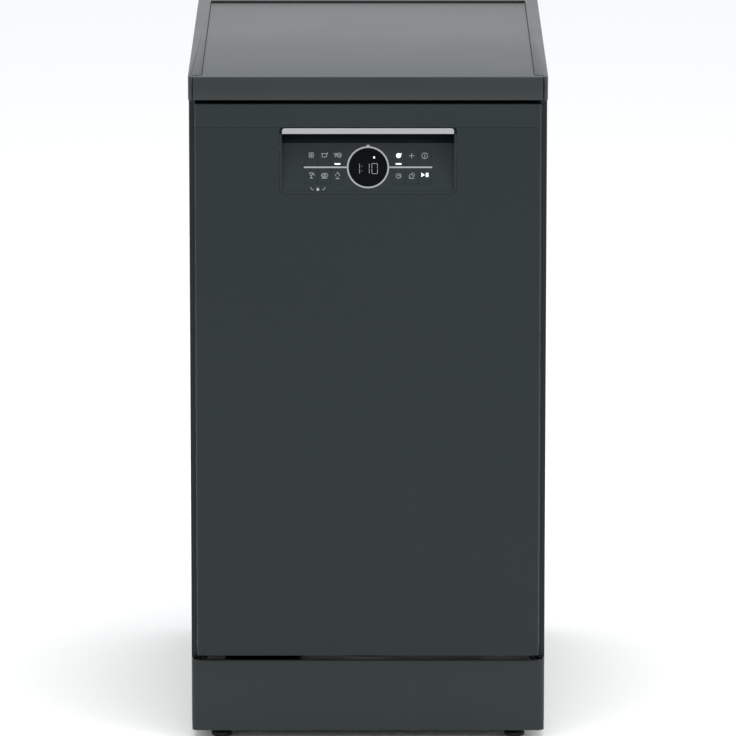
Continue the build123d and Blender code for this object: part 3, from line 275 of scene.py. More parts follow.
def piece(name, form, finish, body, stands_for=(), sharp=35.0):
    """A finished mesh that rides on a body."""
    bmesh.ops.recalc_face_normals(form, faces=form.faces[:])
    mesh = bpy.data.meshes.new(name)
    form.to_mesh(mesh)
    form.free()
    mesh.materials.append(finish.material)
    mesh.shade_smooth()
    mesh.set_sharp_from_angle(angle=radians(sharp))
    made = bpy.data.objects.new(name, mesh)
    bpy.context.scene.collection.objects.link(made)
    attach(made, body)
    if stands_for:
        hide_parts(*stands_for)
    return made


def dress(finish, *names):
    """A finish for nodes whose shape is right as it is."""
    for name in names:
        for slot in nodes[name].material_slots:
            slot.material = finish.material


BOARD_EASE = 0.6 * MM
SIDE_MOULDING = 16.5 * MM
END_CAP = 6.0 * MM
STRIP_DEPTH = 15.0 * MM
STRIP_BOW = 3.0 * MM
BOW_FULLNESS = 0.55
BOW_STEPS = 12
STRIP_LAND = 9.0 * MM
STRIP_DROP = 0.4 * MM
MOULDING_PROUD = 2.0 * MM
MOULDING_EASE = 0.8 * MM
CORNER = 7.0 * MM
CORNER_SQUASH = 0.6
CORNER_STEPS = 6
LEDGE = 9.0 * MM
LEDGE_EASE = 0.5 * MM
SHADOW_STRIP_WIDTH = 5.0 * MM
SHADOW_STRIP_DROP = 0.2 * MM
SHADOW_STRIP_EASE = 0.7 * MM
JOINT = 0.25 * MM

top_low, top_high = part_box("worktop_frame")
board_low, board_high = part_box("worktop_board")
board_z = top_high.z - MOULDING_PROUD
laminate = laminate_finish()
surround_plastic = moulded_finish("worktop_moulding", (0.0085, 0.0150, 0.0145), 0.34, 0.42)

surface = bmesh.new()
surface_low = (board_low.x, top_low.y + STRIP_BOW, board_low.z)
block(surface, surface_low, (board_high.x, board_high.y, board_z), BOARD_EASE)
piece("worktop_surface", surface, laminate, "cabinet", ["worktop_board"])


def bowed_strip(low_z, high_z):
    """Section of the front strip: (y, z) points round its bowed face."""
    middle = (low_z + high_z) / 2
    reach = (high_z - low_z) / 2
    face = []
    for step in range(BOW_STEPS + 1):
        turn = -pi / 2 + pi * step / BOW_STEPS
        bow = abs(cos(turn)) ** BOW_FULLNESS
        face.append((top_low.y + STRIP_BOW * (1 - bow), middle + reach * sin(turn)))
    inner = top_low.y + STRIP_BOW + STRIP_LAND
    return face + [(inner, high_z), (inner, low_z)]


surround_form = bmesh.new()
strip_x = top_high.x - END_CAP - JOINT
strip_place = axes((0, 1, 0), (0, 0, 1), (1, 0, 0), (-strip_x, 0, 0))
raised(surround_form, bowed_strip(top_low.z, top_high.z - STRIP_DROP), strip_place, 2 * strip_x)
moulding_place = Matrix.Translation((0, 0, top_low.z))
moulding_tall = top_high.z - top_low.z
strip_back = top_low.y + STRIP_DEPTH
for side in (-1, 1):
    outer = side * top_high.x
    inner = outer - side * SIDE_MOULDING
    cap = outer - side * END_CAP
    outline = [(cap, top_low.y + CORNER * 0.25)]
    for step in range(CORNER_STEPS + 1):
        turn = pi / 2 * step / CORNER_STEPS
        x = outer - side * CORNER * CORNER_SQUASH * (1 - sin(turn))
        outline.append((x, top_low.y + CORNER * (1 - cos(turn))))
    outline += [(outer, top_high.y), (inner, top_high.y), (inner, strip_back), (cap, strip_back)]
    raised(surround_form, outline, moulding_place, moulding_tall, MOULDING_EASE)
    ledge_x = sorted((side * board_high.x, side * (board_high.x - LEDGE)))
    ledge_low = (ledge_x[0], board_low.y, top_low.z)
    block(surround_form, ledge_low, (ledge_x[1], board_high.y, board_low.z), LEDGE_EASE)
rear_low = (board_low.x, board_high.y + JOINT, top_low.z)
block(surround_form, rear_low, (board_high.x, top_high.y, top_high.z), MOULDING_EASE)
ledge_low = (board_low.x, board_high.y - LEDGE, top_low.z)
block(surround_form, ledge_low, (board_high.x, board_high.y, board_low.z), LEDGE_EASE)
piece("worktop_surround", surround_form, surround_plastic, "cabinet",
      ["worktop_frame"])

# Painted shade: a matt black strip in front of the rear lip stands for the shadow in the gap there.
shadow_strip_black = moulded_finish("rear_shadow_strip_black", (0.004, 0.005, 0.005), 0.6, 0.1)
shadow_strip = bmesh.new()
shadow_strip_low = (board_low.x, board_high.y - SHADOW_STRIP_WIDTH, board_z)
block(shadow_strip, shadow_strip_low, (board_high.x, board_high.y, top_high.z - SHADOW_STRIP_DROP), SHADOW_STRIP_EASE)
piece("worktop_rear_shadow_strip", shadow_strip, shadow_strip_black, "cabinet")


# ---------------------------------------------------------------- casing and door skin
# The side sheets and the outer door are folded steel, powder coated in a dark green grey that
# leaves a fine orange peel. The back is bare galvanised sheet, fixed with pan-head screws.

def enamel_finish():
    """Powder coat over folded steel."""
    finish = Finish("powder_coat", (0.0060, 0.0125, 0.0120), 0.40, Specular_IOR_Level=0.28)
    peel = finish.noise(650.0, detail=2.0)
    waves = finish.noise(5.0, detail=2.0)
    mottled = finish.tint(waves * 0.2, (0.013, 0.022, 0.021))
    # Painted highlight: the edges are tinted lighter.
    finish.tint(finish.edges(0.001) * 0.45, (0.045, 0.058, 0.057), under=mottled)
    finish.gloss(peel * 0.4 + waves * 0.6, 0.10)
    finish.relief(peel, 0.00003)
    return finish


def galvanised_finish(name, color, roughness):
    """Zinc coated steel with its spangle."""
    finish = Finish(name, color, roughness, Metallic=0.85)
    spangle = finish.node("TexVoronoi", {}, {"Vector": finish.place(), "Scale": 120.0}, output=1)
    grey = finish.node("RGBToBW", {}, {"Color": spangle})
    scuffs = finish.noise(40.0, detail=5.0, stretch=(1.0, 1.0, 8.0))
    dulled = finish.tint(grey * 0.35, tuple(part * 0.6 for part in color))
    # Painted highlight: the edges are tinted lighter.
    finish.tint(finish.edges(0.0006) * 0.5, tuple(part * 1.3 for part in color), under=dulled)
    finish.gloss(grey * 0.5 + scuffs * 0.5, 0.24)
    finish.relief(scuffs, 0.00004)
    return finish


enamel = enamel_finish()
zinc = galvanised_finish("zinc_steel", (0.46, 0.47, 0.48), 0.42)
dress(enamel, "left_side_panel", "right_side_panel", "outer_door_panel")
dress(galvanised_finish("rear_steel", (0.36, 0.37, 0.38), 0.50), "rear_panel")
dress(zinc, "cabinet_screws", "door_screws")
dress(galvanised_finish("blackened_steel", (0.030, 0.031, 0.033), 0.5), "hinge_brackets", "hinge_arms")


# ---------------------------------------------------------------- control fascia
# One moulding holds the top strip, the handle recess and the sloping panel, coloured to match the
# door. A bright anodised bar is clipped along the upper lip, where the fingers go.

def brushed_finish(name, color, roughness, stretch):
    """Metal brushed one way."""
    finish = Finish(name, color, roughness, Metallic=1.0)
    lines = finish.noise(900.0, detail=4.0, stretch=stretch)
    smears = finish.noise(9.0, detail=3.0)
    dulled = finish.tint(lines * 0.3, tuple(part * 0.8 for part in color))
    finish.tint(smears * 0.15, tuple(part * 0.9 for part in color), under=dulled)
    finish.gloss(lines * 0.6 + smears * 0.4, 0.2)
    finish.relief(lines, 0.00001)
    return finish


fascia_plastic = moulded_finish("fascia_plastic", (0.0070, 0.0135, 0.0130), 0.42, 0.28)
plinth_plastic = moulded_finish("plinth_plastic", (0.0115, 0.0180, 0.0172), 0.42, 0.28)
key_plastic = moulded_finish("key_plastic", (0.0068, 0.0132, 0.0128), 0.38, 0.28)
bright = brushed_finish("bright_trim", (0.43, 0.445, 0.445), 0.34, (0.02, 1.0, 1.0))
dress(fascia_plastic, "control_fascia")
dress(plinth_plastic, "plinth")
dress(key_plastic, *[f"key_{number}" for number in range(1, 13)])
dress(bright, "grip_trim", "display_trim")

board_finish = Finish("circuit_board", (0.012, 0.075, 0.03), 0.45)
tracks = board_finish.node("TexBrick", {}, {"Vector": board_finish.place(), "Scale": 90.0}, output=1)
board_finish.tint(tracks, (0.30, 0.22, 0.09))
board_finish.gloss(board_finish.noise(60.0), 0.15)
board_finish.relief(tracks, 0.00005)
dress(board_finish, "control_board")


# ---------------------------------------------------------------- display and key printing
# A dark glossy disc with a lit clock behind it. The keys carry pale printed signs, two of them
# with a lit bar, and every sign is thin ink that stands a hair above the face.

PANEL_TILT = radians(16.0)
right_way = Vector((1.0, 0.0, 0.0))
up_way = Vector((0.0, sin(PANEL_TILT), cos(PANEL_TILT)))
out_way = Vector((0.0, -cos(PANEL_TILT), sin(PANEL_TILT)))
INK = 0.06 * MM

display_gloss = Finish("display_gloss", (0.0030, 0.0034, 0.0040), 0.14, Specular_IOR_Level=0.03)
display_gloss.gloss(display_gloss.noise(30.0, detail=4.0), 0.05)
display_gloss.relief(display_gloss.noise(300.0), 0.000004)
dress(display_gloss, "display_window")


def ink_finish(name, color, glow=0.0):
    """Screen print, or a light guide when it glows."""
    finish = Finish(name, color, 0.55, Emission_Strength=glow)
    finish.shader.inputs["Emission Color"].default_value = (*color, 1.0)
    speckle = finish.noise(2400.0, detail=2.0)
    finish.tint(speckle * 0.3, tuple(part * 0.75 for part in color))
    finish.gloss(speckle, 0.1)
    return finish


print_ink = ink_finish("print_ink", (0.36, 0.39, 0.39))
lit_ink = ink_finish("lit_ink", (0.92, 0.95, 0.96), 0.75)
segment_ink = ink_finish("segment_ink", (0.24, 0.26, 0.27), 0.2)


def span(node, way):
    """Lowest and highest reach of a node along a direction."""
    reaches = [corner.co.dot(way) for corner in nodes[node].data.vertices]
    return min(reaches), max(reaches)


def face_of(node):
    """Frame at the middle of a node's outer face on the sloping panel."""
    middle = sum(span(node, right_way)) / 2 * right_way + sum(span(node, up_way)) / 2 * up_way
    return axes(right_way, up_way, out_way, middle + span(node, out_way)[1] * out_way)


def stroke(form, place, points, width=0.5):
    """A printed line through points, in millimetres on the face."""
    for start, end in zip(points, points[1:]):
        start, end = Vector(start), Vector(end)
        run = end - start
        middle = (start + end) / 2
        size = Matrix.Diagonal(((run.length + width * 0.6) * MM, width * MM, INK, 1.0))
        turn = Matrix.Rotation(run.angle_signed(Vector((1.0, 0.0))), 4, "Z")
        where = Matrix.Translation((middle.x * MM, middle.y * MM, INK / 2))
        bmesh.ops.create_cube(form, size=1.0, matrix=place @ where @ turn @ size)


def arc(x, y, radius, start=0.0, end=360.0, steps=16):
    """Points round an arc, in millimetres and degrees."""
    turns = [radians(start + (end - start) * step / steps) for step in range(steps + 1)]
    return [(x + radius * cos(turn), y + radius * sin(turn)) for turn in turns]


def in_mm(points):
    """Points given in millimetres."""
    return [(first * MM, second * MM) for first, second in points]


def patch(form, place, outline):
    """A printed solid shape, in millimetres on the face."""
    raised(form, in_mm(outline), place, INK)


def seven_segments(form, place, x, y, width, bars):
    """A digit made of the named bars: a top, b and c right, d bottom, e and f left, g middle."""
    top, low = y + DIGIT_TALL / 2, y - DIGIT_TALL / 2
    left, right = x - width / 2, x + width / 2
    rows = {"a": top, "g": y, "d": low}
    columns = {"b": (right, top, y), "c": (right, y, low), "f": (left, top, y), "e": (left, y, low)}
    for bar in bars:
        if bar in rows:
            ends = [(left + BAR_GAP, rows[bar]), (right - BAR_GAP, rows[bar])]
        else:
            side, high, under = columns[bar]
            ends = [(side, high - BAR_GAP), (side, under + BAR_GAP)]
        stroke(form, place, ends, BAR_WIDTH)


DIGIT_TALL = 12.7
DIGIT_RISE = -1.6
BAR_GAP = 0.5
BAR_WIDTH = 0.6
clock_face = face_of("display_window")
clock = bmesh.new()
seven_segments(clock, clock_face, -13.6, DIGIT_RISE, 6.2, "bc")
seven_segments(clock, clock_face, -1.5, DIGIT_RISE, 6.2, "bc")
seven_segments(clock, clock_face, 8.3, DIGIT_RISE, 7.0, "abcdef")
for rise in (1.4, -4.6):
    stroke(clock, clock_face, [(-8.0, rise), (-7.4, rise)])
piece("clock_segments", clock, segment_ink, "door")
lamp_dot = bmesh.new()
patch(lamp_dot, clock_face, arc(7.7, 12.3, 1.2)[:-1])
piece("clock_lamp", lamp_dot, lit_ink, "door")

glass = [(-2.2, 2.0), (-1.6, -0.4), (0.0, -1.2), (1.6, -0.4), (2.2, 2.0), (-2.2, 2.0)]
SIGN_LINE = 0.55
low_glass = [(x * 0.8 - 2.4, y * 0.8 + 4.6) for x, y in glass]
high_glass = [(x, y + 2.2) for x, y in glass]
pot = [(-2.8, 6.0), (-2.8, 1.8), (2.8, 1.8), (2.8, 6.0)]
pane = [(-2.6, 7.0), (2.6, 7.0), (2.6, 1.4), (-2.6, 1.4), (-2.6, 7.0)]
base_line = [(-3.2, -2.6), (3.2, -2.6)]
printed_signs = {
    1: [low_glass, [(-2.4, 3.6), (-2.4, 1.8)], arc(2.2, 4.0, 2.8), arc(2.2, 4.0, 1.5)],
    2: [pot, [(-3.8, 6.0), (3.8, 6.0)], [(2.8, 6.0), (4.2, 7.2)]],
    3: [pane, [(-2.6, 4.2), (2.6, 4.2)], [(0.0, 7.0), (0.0, 1.4)]],
    4: [arc(0.0, 1.4, 2.4, -30.0, 210.0), [(0.0, -1.0), (0.0, -3.0)], [(-2.2, -3.2), (2.2, -3.2)],
        [(0.0, 3.8), (0.0, 5.2)]],
    5: [arc(-1.0, 1.2, 2.6), arc(1.6, 1.2, 2.6, -110.0, 110.0), base_line, arc(-1.0, 1.2, 1.3)],
    6: [high_glass, [(0.0, 1.0), (0.0, -2.2)], [(-1.8, -2.4), (1.8, -2.4)], [(2.8, 3.4), (4.0, 0.6)]],
    8: [[(-3.0, 3.4), (3.0, 3.4)], [(0.0, 0.4), (0.0, 6.4)]],
    9: [arc(0.0, 3.4, 3.6), [(0.0, 1.4), (0.0, 5.4)]],
    10: [arc(0.0, 0.4, 3.0, 110.0, 430.0), [(0.0, 0.4), (0.0, 2.2)], [(0.0, 0.4), (1.3, 0.4)]],
    11: [arc(-0.6, -0.2, 2.4, 0.0, 230.0), arc(1.2, 1.6, 2.4, -60.0, 120.0), base_line],
}
for number, lines in printed_signs.items():
    sign = bmesh.new()
    for points in lines:
        stroke(sign, face_of(f"key_{number}"), points, SIGN_LINE)
    piece(f"sign_{number}", sign, print_ink, f"key_{number}")

lit_shapes = {
    7: [arc(0.0, 3.6, 3.0)[:-1], [(1.8, 5.2), (3.4, 6.6), (4.0, 6.0), (2.8, 4.6)]],
    12: [[(-4.2, 4.2), (-4.2, -1.0), (0.2, 1.6)], [(1.6, 4.2), (1.6, -1.0), (2.6, -1.0), (2.6, 4.2)],
         [(3.5, 4.2), (3.5, -1.0), (4.5, -1.0), (4.5, 4.2)]],
}
for number, outlines in lit_shapes.items():
    sign = bmesh.new()
    for outline in outlines:
        patch(sign, face_of(f"key_{number}"), outline)
    piece(f"sign_{number}", sign, lit_ink, f"key_{number}")
LAMP_BAR = [(-3.5, -7.7), (3.5, -7.7), (3.5, -6.0), (-3.5, -6.0)]
for number in (1, 7):
    bar = bmesh.new()
    patch(bar, face_of(f"key_{number}"), LAMP_BAR)
    piece(f"lamp_bar_{number}", bar, lit_ink, f"key_{number}")

LOCK_BELOW = 15.5 * MM
LOCK_ASIDE = 8.1 * MM
KEY_PROUD = 0.25 * MM
under_keys = face_of("key_5") @ Matrix.Translation((-LOCK_ASIDE, -LOCK_BELOW, -KEY_PROUD))
lock_sign = bmesh.new()
stroke(lock_sign, under_keys, [(-9.0, 1.8), (-8.0, -1.0), (-5.6, -1.6)])
stroke(lock_sign, under_keys, [(9.0, 1.8), (8.0, -1.0), (5.6, -1.6)])
patch(lock_sign, under_keys, [(-1.5, 0.2), (-1.5, -2.6), (1.5, -2.6), (1.5, 0.2)])
stroke(lock_sign, under_keys, arc(0.0, 0.2, 1.1, 0.0, 180.0), 0.45)
piece("lock_sign", lock_sign, print_ink, "door")


# ---------------------------------------------------------------- base and feet
# The base is a black moulded leak tray. Four levelling feet screw into it: a ribbed pad that the
# hand turns, a waisted neck and a coarse thread.

black_plastic = moulded_finish("black_plastic", (0.006, 0.006, 0.007), 0.5, 0.4)
dress(black_plastic, "base_tray", "door_lock", "latch_lever", "rear_fittings")


def turned(form, outline, centre, axis=(0.0, 0.0, 1.0), steps=40):
    """An outline of (radius, height) points spun about an axis through a centre."""
    axis, centre = Vector(axis), Vector(centre)
    spoke = axis.orthogonal().normalized()
    corners = [form.verts.new(centre + spoke * radius + axis * height) for radius, height in outline]
    edges = [form.edges.new(ends) for ends in zip(corners, corners[1:])]
    bmesh.ops.spin(form, geom=corners + edges, cent=centre, axis=axis, dvec=(0, 0, 0),
                   angle=2 * pi, steps=steps, use_merge=True)
    bmesh.ops.remove_doubles(form, verts=form.verts[:], dist=1e-6)


def threaded_stem(low, high, radius, pitch, depth):
    """Outline of a stem whose thread is a row of rings."""
    count = int((high - low) / pitch)
    outline = []
    for turn in range(count):
        start = low + turn * pitch
        outline += [(radius - depth, start), (radius, start + pitch / 2)]
    return outline + [(radius - depth, low + count * pitch), (0.0, low + count * pitch)]


def grip_ribs(form, centre, radius, tall, count):
    """Tapered ribs round a rim, standing on a centre."""
    root = radius - 2.0 * MM
    rib = [(root, -0.9 * MM), (radius, -0.5 * MM), (radius, 0.5 * MM), (root, 0.9 * MM)]
    for step in range(count):
        turn = Matrix.Rotation(2 * pi * step / count, 4, "Z")
        raised(form, rib, Matrix.Translation(centre) @ turn, tall)


THREAD_LOW = 15.0 * MM
THREAD_SHORT = 0.5 * MM
THREAD_RADIUS = 4.9 * MM
THREAD_PITCH = 2.5 * MM
THREAD_DEPTH = 0.7 * MM
RIB_LOW = 1.4 * MM
RIB_TALL = 3.6 * MM
FOOT_RIBS = 20

for name in ("front_left_foot", "front_right_foot", "rear_left_foot", "rear_right_foot"):
    low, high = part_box(name)
    centre = Vector(((low.x + high.x) / 2, (low.y + high.y) / 2, low.z))
    pad = (high.x - low.x) / 2
    rim = pad / MM
    pad_outline = in_mm([(0.0, 0.0), (rim - 2.2, 0.0), (rim - 1.2, 0.6), (rim - 0.8, 2.2), (rim - 0.9, 5.2),
                         (rim - 2.4, 6.0), (8.0, 6.4), (7.0, 8.0), (7.4, 13.5), (4.4, 14.0)])
    thread_high = high.z - low.z - THREAD_SHORT
    stem = threaded_stem(THREAD_LOW, thread_high, THREAD_RADIUS, THREAD_PITCH, THREAD_DEPTH)
    form = bmesh.new()
    turned(form, pad_outline + stem, centre)
    grip_ribs(form, centre + Vector((0.0, 0.0, RIB_LOW)), pad, RIB_TALL, FOOT_RIBS)
    piece(f"{name}_turned", form, black_plastic, name, [name])


# ---------------------------------------------------------------- wash tub
# The tub, its floor strainer and the inner face of the door are brushed stainless sheet. A soft
# lip seal runs round the mouth, and the feed duct and the sump are grey moulded plastic.

stainless = brushed_finish("stainless", (0.56, 0.56, 0.55), 0.30, (1.0, 1.0, 0.03))
grey_plastic = moulded_finish("grey_plastic", (0.27, 0.285, 0.30), 0.42, 0.45)
dress(stainless, "tub", "inner_door_liner", "rack_rails", "door_strike")
dress(grey_plastic, "spray_feed_duct", "sump", "dispenser_housing")

strainer = brushed_finish("strainer_plate", (0.54, 0.54, 0.53), 0.34, (1.0, 0.03, 1.0))
flat_place = strainer.place((1.0, 1.0, 0.0))
cells = strainer.node("TexVoronoi", {}, {"Vector": flat_place, "Scale": 420.0, "Randomness": 0.0})
# Painted shade: the punched holes are not cut, they are painted near-black for the dark seen through them,
# with the metal taken off there.
punched = strainer.node("Math", {"operation": "LESS_THAN"}, {0: cells, 1: 0.24})
strainer.tint(punched, (0.02, 0.02, 0.02))
strainer.feed("Metallic", 1.0 - punched * 0.9)
strainer.relief(1.0 - punched, 0.0004)
dress(strainer, "filter_plate")

seal_rubber = Finish("seal_rubber", (0.018, 0.018, 0.019), 0.62, Specular_IOR_Level=0.35)
bloom = seal_rubber.noise(60.0, detail=4.0)
seal_rubber.tint(bloom * 0.3, (0.05, 0.05, 0.05))
seal_rubber.gloss(bloom, 0.2)
seal_rubber.relief(seal_rubber.noise(900.0), 0.00004)
dress(seal_rubber, "tub_gasket")


def eased(corners, radius, steps=4):
    """A path whose corners are turned with a radius."""
    corners = [Vector(corner) for corner in corners]
    path = [corners[0]]
    for before, at, after in zip(corners, corners[1:], corners[2:]):
        inward = (before - at).normalized()
        onward = (after - at).normalized()
        half_turn = (pi - inward.angle(onward)) / 2
        centre = at + (inward + onward).normalized() * radius / cos(half_turn)
        start = at + inward * radius * tan(half_turn) - centre
        end = at + onward * radius * tan(half_turn) - centre
        for step in range(steps + 1):
            path.append(centre + start.slerp(end, step / steps).normalized() * radius)
    return path + [corners[-1]]


def wire(form, path, radius, sides=8, closed=False):
    """Round wire drawn along a path: closed on itself, or with flat ends."""
    path = [Vector(point) for point in path]
    runs = [(after - before).normalized() for before, after in zip(path, path[1:])]
    turns = [(before + after).normalized() for before, after in zip(runs, runs[1:])]
    ways = [runs[0], *turns, runs[-1]]
    place = Matrix.Translation(path[0]) @ ways[0].to_track_quat("Z", "X").to_matrix().to_4x4()
    disc = bmesh.ops.create_circle(form, cap_ends=True, segments=sides, radius=radius, matrix=place)
    made = list(disc["verts"])
    caps = [made[0].link_faces[0]]
    for before, at, way_in, way_out in zip(path, path[1:], ways, ways[1:]):
        grown = bmesh.ops.extrude_face_region(form, geom=[caps[-1]])["geom"]
        ring = [part for part in grown if isinstance(part, bmesh.types.BMVert)]
        caps.append(next(part for part in grown if isinstance(part, bmesh.types.BMFace)))
        turn = way_in.rotation_difference(way_out).to_matrix()
        bmesh.ops.rotate(form, cent=before, matrix=turn, verts=ring)
        bmesh.ops.translate(form, vec=at - before, verts=ring)
        made += ring
    bmesh.ops.delete(form, geom=caps if closed else caps[1:-1], context="FACES_ONLY")
    if closed:
        bmesh.ops.remove_doubles(form, verts=made, dist=radius / 20)


def hoop(x, y, z, radius):
    """Closed rounded rectangle at one height, between two x and two y."""
    middle = (x[0] + x[1]) / 2
    corners = [(middle, y[1]), (x[1], y[1]), (x[1], y[0]), (x[0], y[0]), (x[0], y[1]), (middle, y[1])]
    return eased([(*corner, z) for corner in corners], radius)


LIP = 1.7 * MM
LIP_INSET = 2.2 * MM
LIP_PROUD = 0.2 * MM
LIP_CORNER = 16.0 * MM
gasket_low, gasket_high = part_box("tub_gasket")
lip_x = (gasket_low.x + LIP_INSET, gasket_high.x - LIP_INSET)
lip_drop = (LIP_INSET - gasket_high.z, -gasket_low.z - LIP_INSET)
lip_y = gasket_low.y + LIP + LIP_PROUD
lip_form = bmesh.new()
lip_path = [(point.x, lip_y, -point.y) for point in hoop(lip_x, lip_drop, 0.0, LIP_CORNER)]
wire(lip_form, lip_path, LIP, closed=True)
piece("gasket_lip", lip_form, seal_rubber, "cabinet")


# ---------------------------------------------------------------- filter and salt cap
# The filter is a moulded cup with a fin to turn it by. The salt filler has a screw cap, ribbed
# round its rim, with a bar across it.

fine_mesh = moulded_finish("filter_plastic", (0.24, 0.255, 0.27), 0.45, 0.45)
weave = fine_mesh.node("TexBrick", {}, {"Vector": fine_mesh.place(), "Scale": 260.0}, output=1)
fine_mesh.relief(weave, 0.0002)
salt_plastic = moulded_finish("salt_cap_plastic", (0.50, 0.51, 0.52), 0.40, 0.45)
dress(fine_mesh, "filter_cup")
dress(salt_plastic, "salt_cap")

CAP_DISC = 4.5 * MM
CAP_DISH = 1.2 * MM
PLUG_RADIUS = 29.4 * MM
GRIP_BAR = (52.0 * MM, 4.5 * MM)
GRIP_BAR_LOW = 2.0 * MM
CAP_RIB_LOW = 0.6 * MM
CAP_RIB_TALL = 2.6 * MM
CAP_RIBS = 36
cap_low, cap_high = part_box("salt_cap")
cap_radius = (cap_high.x - cap_low.x) / 2
cap_centre = (cap_low + cap_high) / 2
cap_base = cap_high.z - 2 * CAP_DISC
cap_dish = cap_base + CAP_DISC - CAP_DISH
cap_form = bmesh.new()
outline = [(0.0, cap_low.z), (PLUG_RADIUS, cap_low.z), (PLUG_RADIUS + 0.2 * MM, cap_base),
           (cap_radius - 0.8 * MM, cap_base), (cap_radius - 0.6 * MM, cap_base + 3.4 * MM),
           (cap_radius - 3.0 * MM, cap_base + CAP_DISC), (12.0 * MM, cap_dish), (0.0, cap_dish)]
turned(cap_form, outline, (cap_centre.x, cap_centre.y, 0.0), steps=64)
bar_low = (cap_centre.x - GRIP_BAR[0] / 2, cap_centre.y - GRIP_BAR[1] / 2, cap_base + GRIP_BAR_LOW)
bar_high = (cap_centre.x + GRIP_BAR[0] / 2, cap_centre.y + GRIP_BAR[1] / 2, cap_high.z)
block(cap_form, bar_low, bar_high, 1.2 * MM)
rib_centre = (cap_centre.x, cap_centre.y, cap_base + CAP_RIB_LOW)
grip_ribs(cap_form, rib_centre, cap_radius, CAP_RIB_TALL, CAP_RIBS)
piece("salt_cap_ribbed", cap_form, salt_plastic, "salt_cap", ["salt_cap"])


# ---------------------------------------------------------------- racks
# Steel wire is bent and spot welded into two baskets, then dipped in grey nylon. Rows of tines
# hold the plates. The lower rack rolls on four wheels, the upper on runners in the side rails.

nylon = Finish("rack_coating", (0.22, 0.235, 0.25), 0.38, Specular_IOR_Level=0.5)
dips = nylon.noise(160.0, detail=3.0)
nylon.tint(dips * 0.35, (0.29, 0.305, 0.32))
nylon.gloss(dips, 0.16)
nylon.relief(dips, 0.0001)

FLOOR_WIRE = 1.5 * MM
RIM_WIRE = 2.4 * MM
RACK_CORNER = 22.0 * MM
FLOOR_WIRES = 11
FLOOR_BEND = 8.0 * MM
RAIL_TO_RACK = 12.0 * MM
rail_low, rail_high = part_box("rack_rails")
rack_y = [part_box("lower_rack")[0].y + RIM_WIRE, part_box("lower_rack")[1].y - RIM_WIRE]
rack_half = rail_high.x - 10 * MM - RAIL_TO_RACK
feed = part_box("upper_spray_arm")
spray_centre = (feed[0] + feed[1]) / 2


def steps_between(low, high, count):
    """Evenly spaced places."""
    return [low + (high - low) * step / (count - 1) for step in range(count)]


def bent_rack(form, floor, rim, flare):
    """Rim hoops, and floor wires that turn up the walls to meet the rim."""
    half = rack_half
    wire(form, hoop((-half, half), rack_y, rim, RACK_CORNER), RIM_WIRE, closed=True)
    inside_x = (RIM_WIRE - half, half - RIM_WIRE)
    inside_y = (rack_y[0] + RIM_WIRE, rack_y[1] - RIM_WIRE)
    middle_hoop = hoop(inside_x, inside_y, (floor + rim) / 2, RACK_CORNER)
    wire(form, middle_hoop, FLOOR_WIRE, closed=True)
    wall = half - RIM_WIRE - FLOOR_WIRE
    near, far = inside_y[0] + FLOOR_WIRE, inside_y[1] - FLOOR_WIRE
    for x in steps_between(-wall + 20 * MM, wall - 20 * MM, FLOOR_WIRES):
        corners = [(x, near, rim), (x, near + flare, floor), (x, far - flare, floor), (x, far, rim)]
        wire(form, eased(corners, FLOOR_BEND), FLOOR_WIRE, sides=6)
    upon = floor + 2 * FLOOR_WIRE
    for y in steps_between(near + 26 * MM, far - 26 * MM, FLOOR_WIRES):
        corners = [(-wall, y, rim), (-wall + flare, y, upon), (wall - flare, y, upon), (wall, y, rim)]
        wire(form, eased(corners, FLOOR_BEND), FLOOR_WIRE, sides=6)


TINE_WIRE = FLOOR_WIRE * 0.9
TINE_HALF = 5.0 * MM
TINE_BEND = 4.0 * MM


def tine_row(form, floor, x, y, height, count, lean):
    """A row of tines: hairpins bent from one wire and welded to the floor."""
    foot = floor + 2 * FLOOR_WIRE
    tip = foot + height
    for place in steps_between(y[0], y[1], count):
        near, far = place - TINE_HALF, place + TINE_HALF
        corners = [(x, near, foot), (x + lean, near, tip), (x + lean, far, tip), (x, far, foot)]
        wire(form, eased(corners, TINE_BEND, steps=3), TINE_WIRE, sides=6)


lower_low, lower_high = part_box("lower_rack")
lower_rim = lower_high.z - RIM_WIRE
LOWER_DEPTH = 190.0 * MM
lower_floor = lower_rim - LOWER_DEPTH
WHEEL = 12.0 * MM
WHEEL_INSET = 47.5 * MM
PLATE_HALF = 7.0 * MM
lower_form = bmesh.new()
bent_rack(lower_form, lower_floor, lower_rim, 10 * MM)
lower_tines_y = (rack_y[0] + 55 * MM, rack_y[1] - 45 * MM)
for x in (-120 * MM, -40 * MM, 30 * MM):
    tine_row(lower_form, lower_floor, x, lower_tines_y, 72 * MM, 12, -9 * MM)
wheel_outline = in_mm([(0.0, 0.0), (3.0, 0.0), (3.2, 1.2), (8.4, 1.6), (8.8, 0.3), (11.4, 0.3), (12.0, 1.2),
                       (12.0, 10.0), (11.0, 11.6), (4.0, 11.8), (3.0, 13.5), (0.0, 13.5)])
plate_z = (lower_low.z + PLATE_HALF, lower_floor + 2.0 * MM)
for side in (-1, 1):
    plate = sorted((side * (rack_half - 1.5 * MM), side * (lower_high.x - 12.3 * MM)))
    for y in (rack_y[0] + WHEEL_INSET, rack_y[1] - WHEEL_INSET):
        hub = (side * lower_high.x, y, lower_low.z + WHEEL)
        turned(lower_form, wheel_outline, hub, (-side, 0.0, 0.0), steps=32)
        plate_low = (plate[0], y - PLATE_HALF, plate_z[0])
        block(lower_form, plate_low, (plate[1], y + PLATE_HALF, plate_z[1]), 1.0 * MM)
piece("lower_rack_wires", lower_form, nylon, "lower_rack", ["lower_rack"])

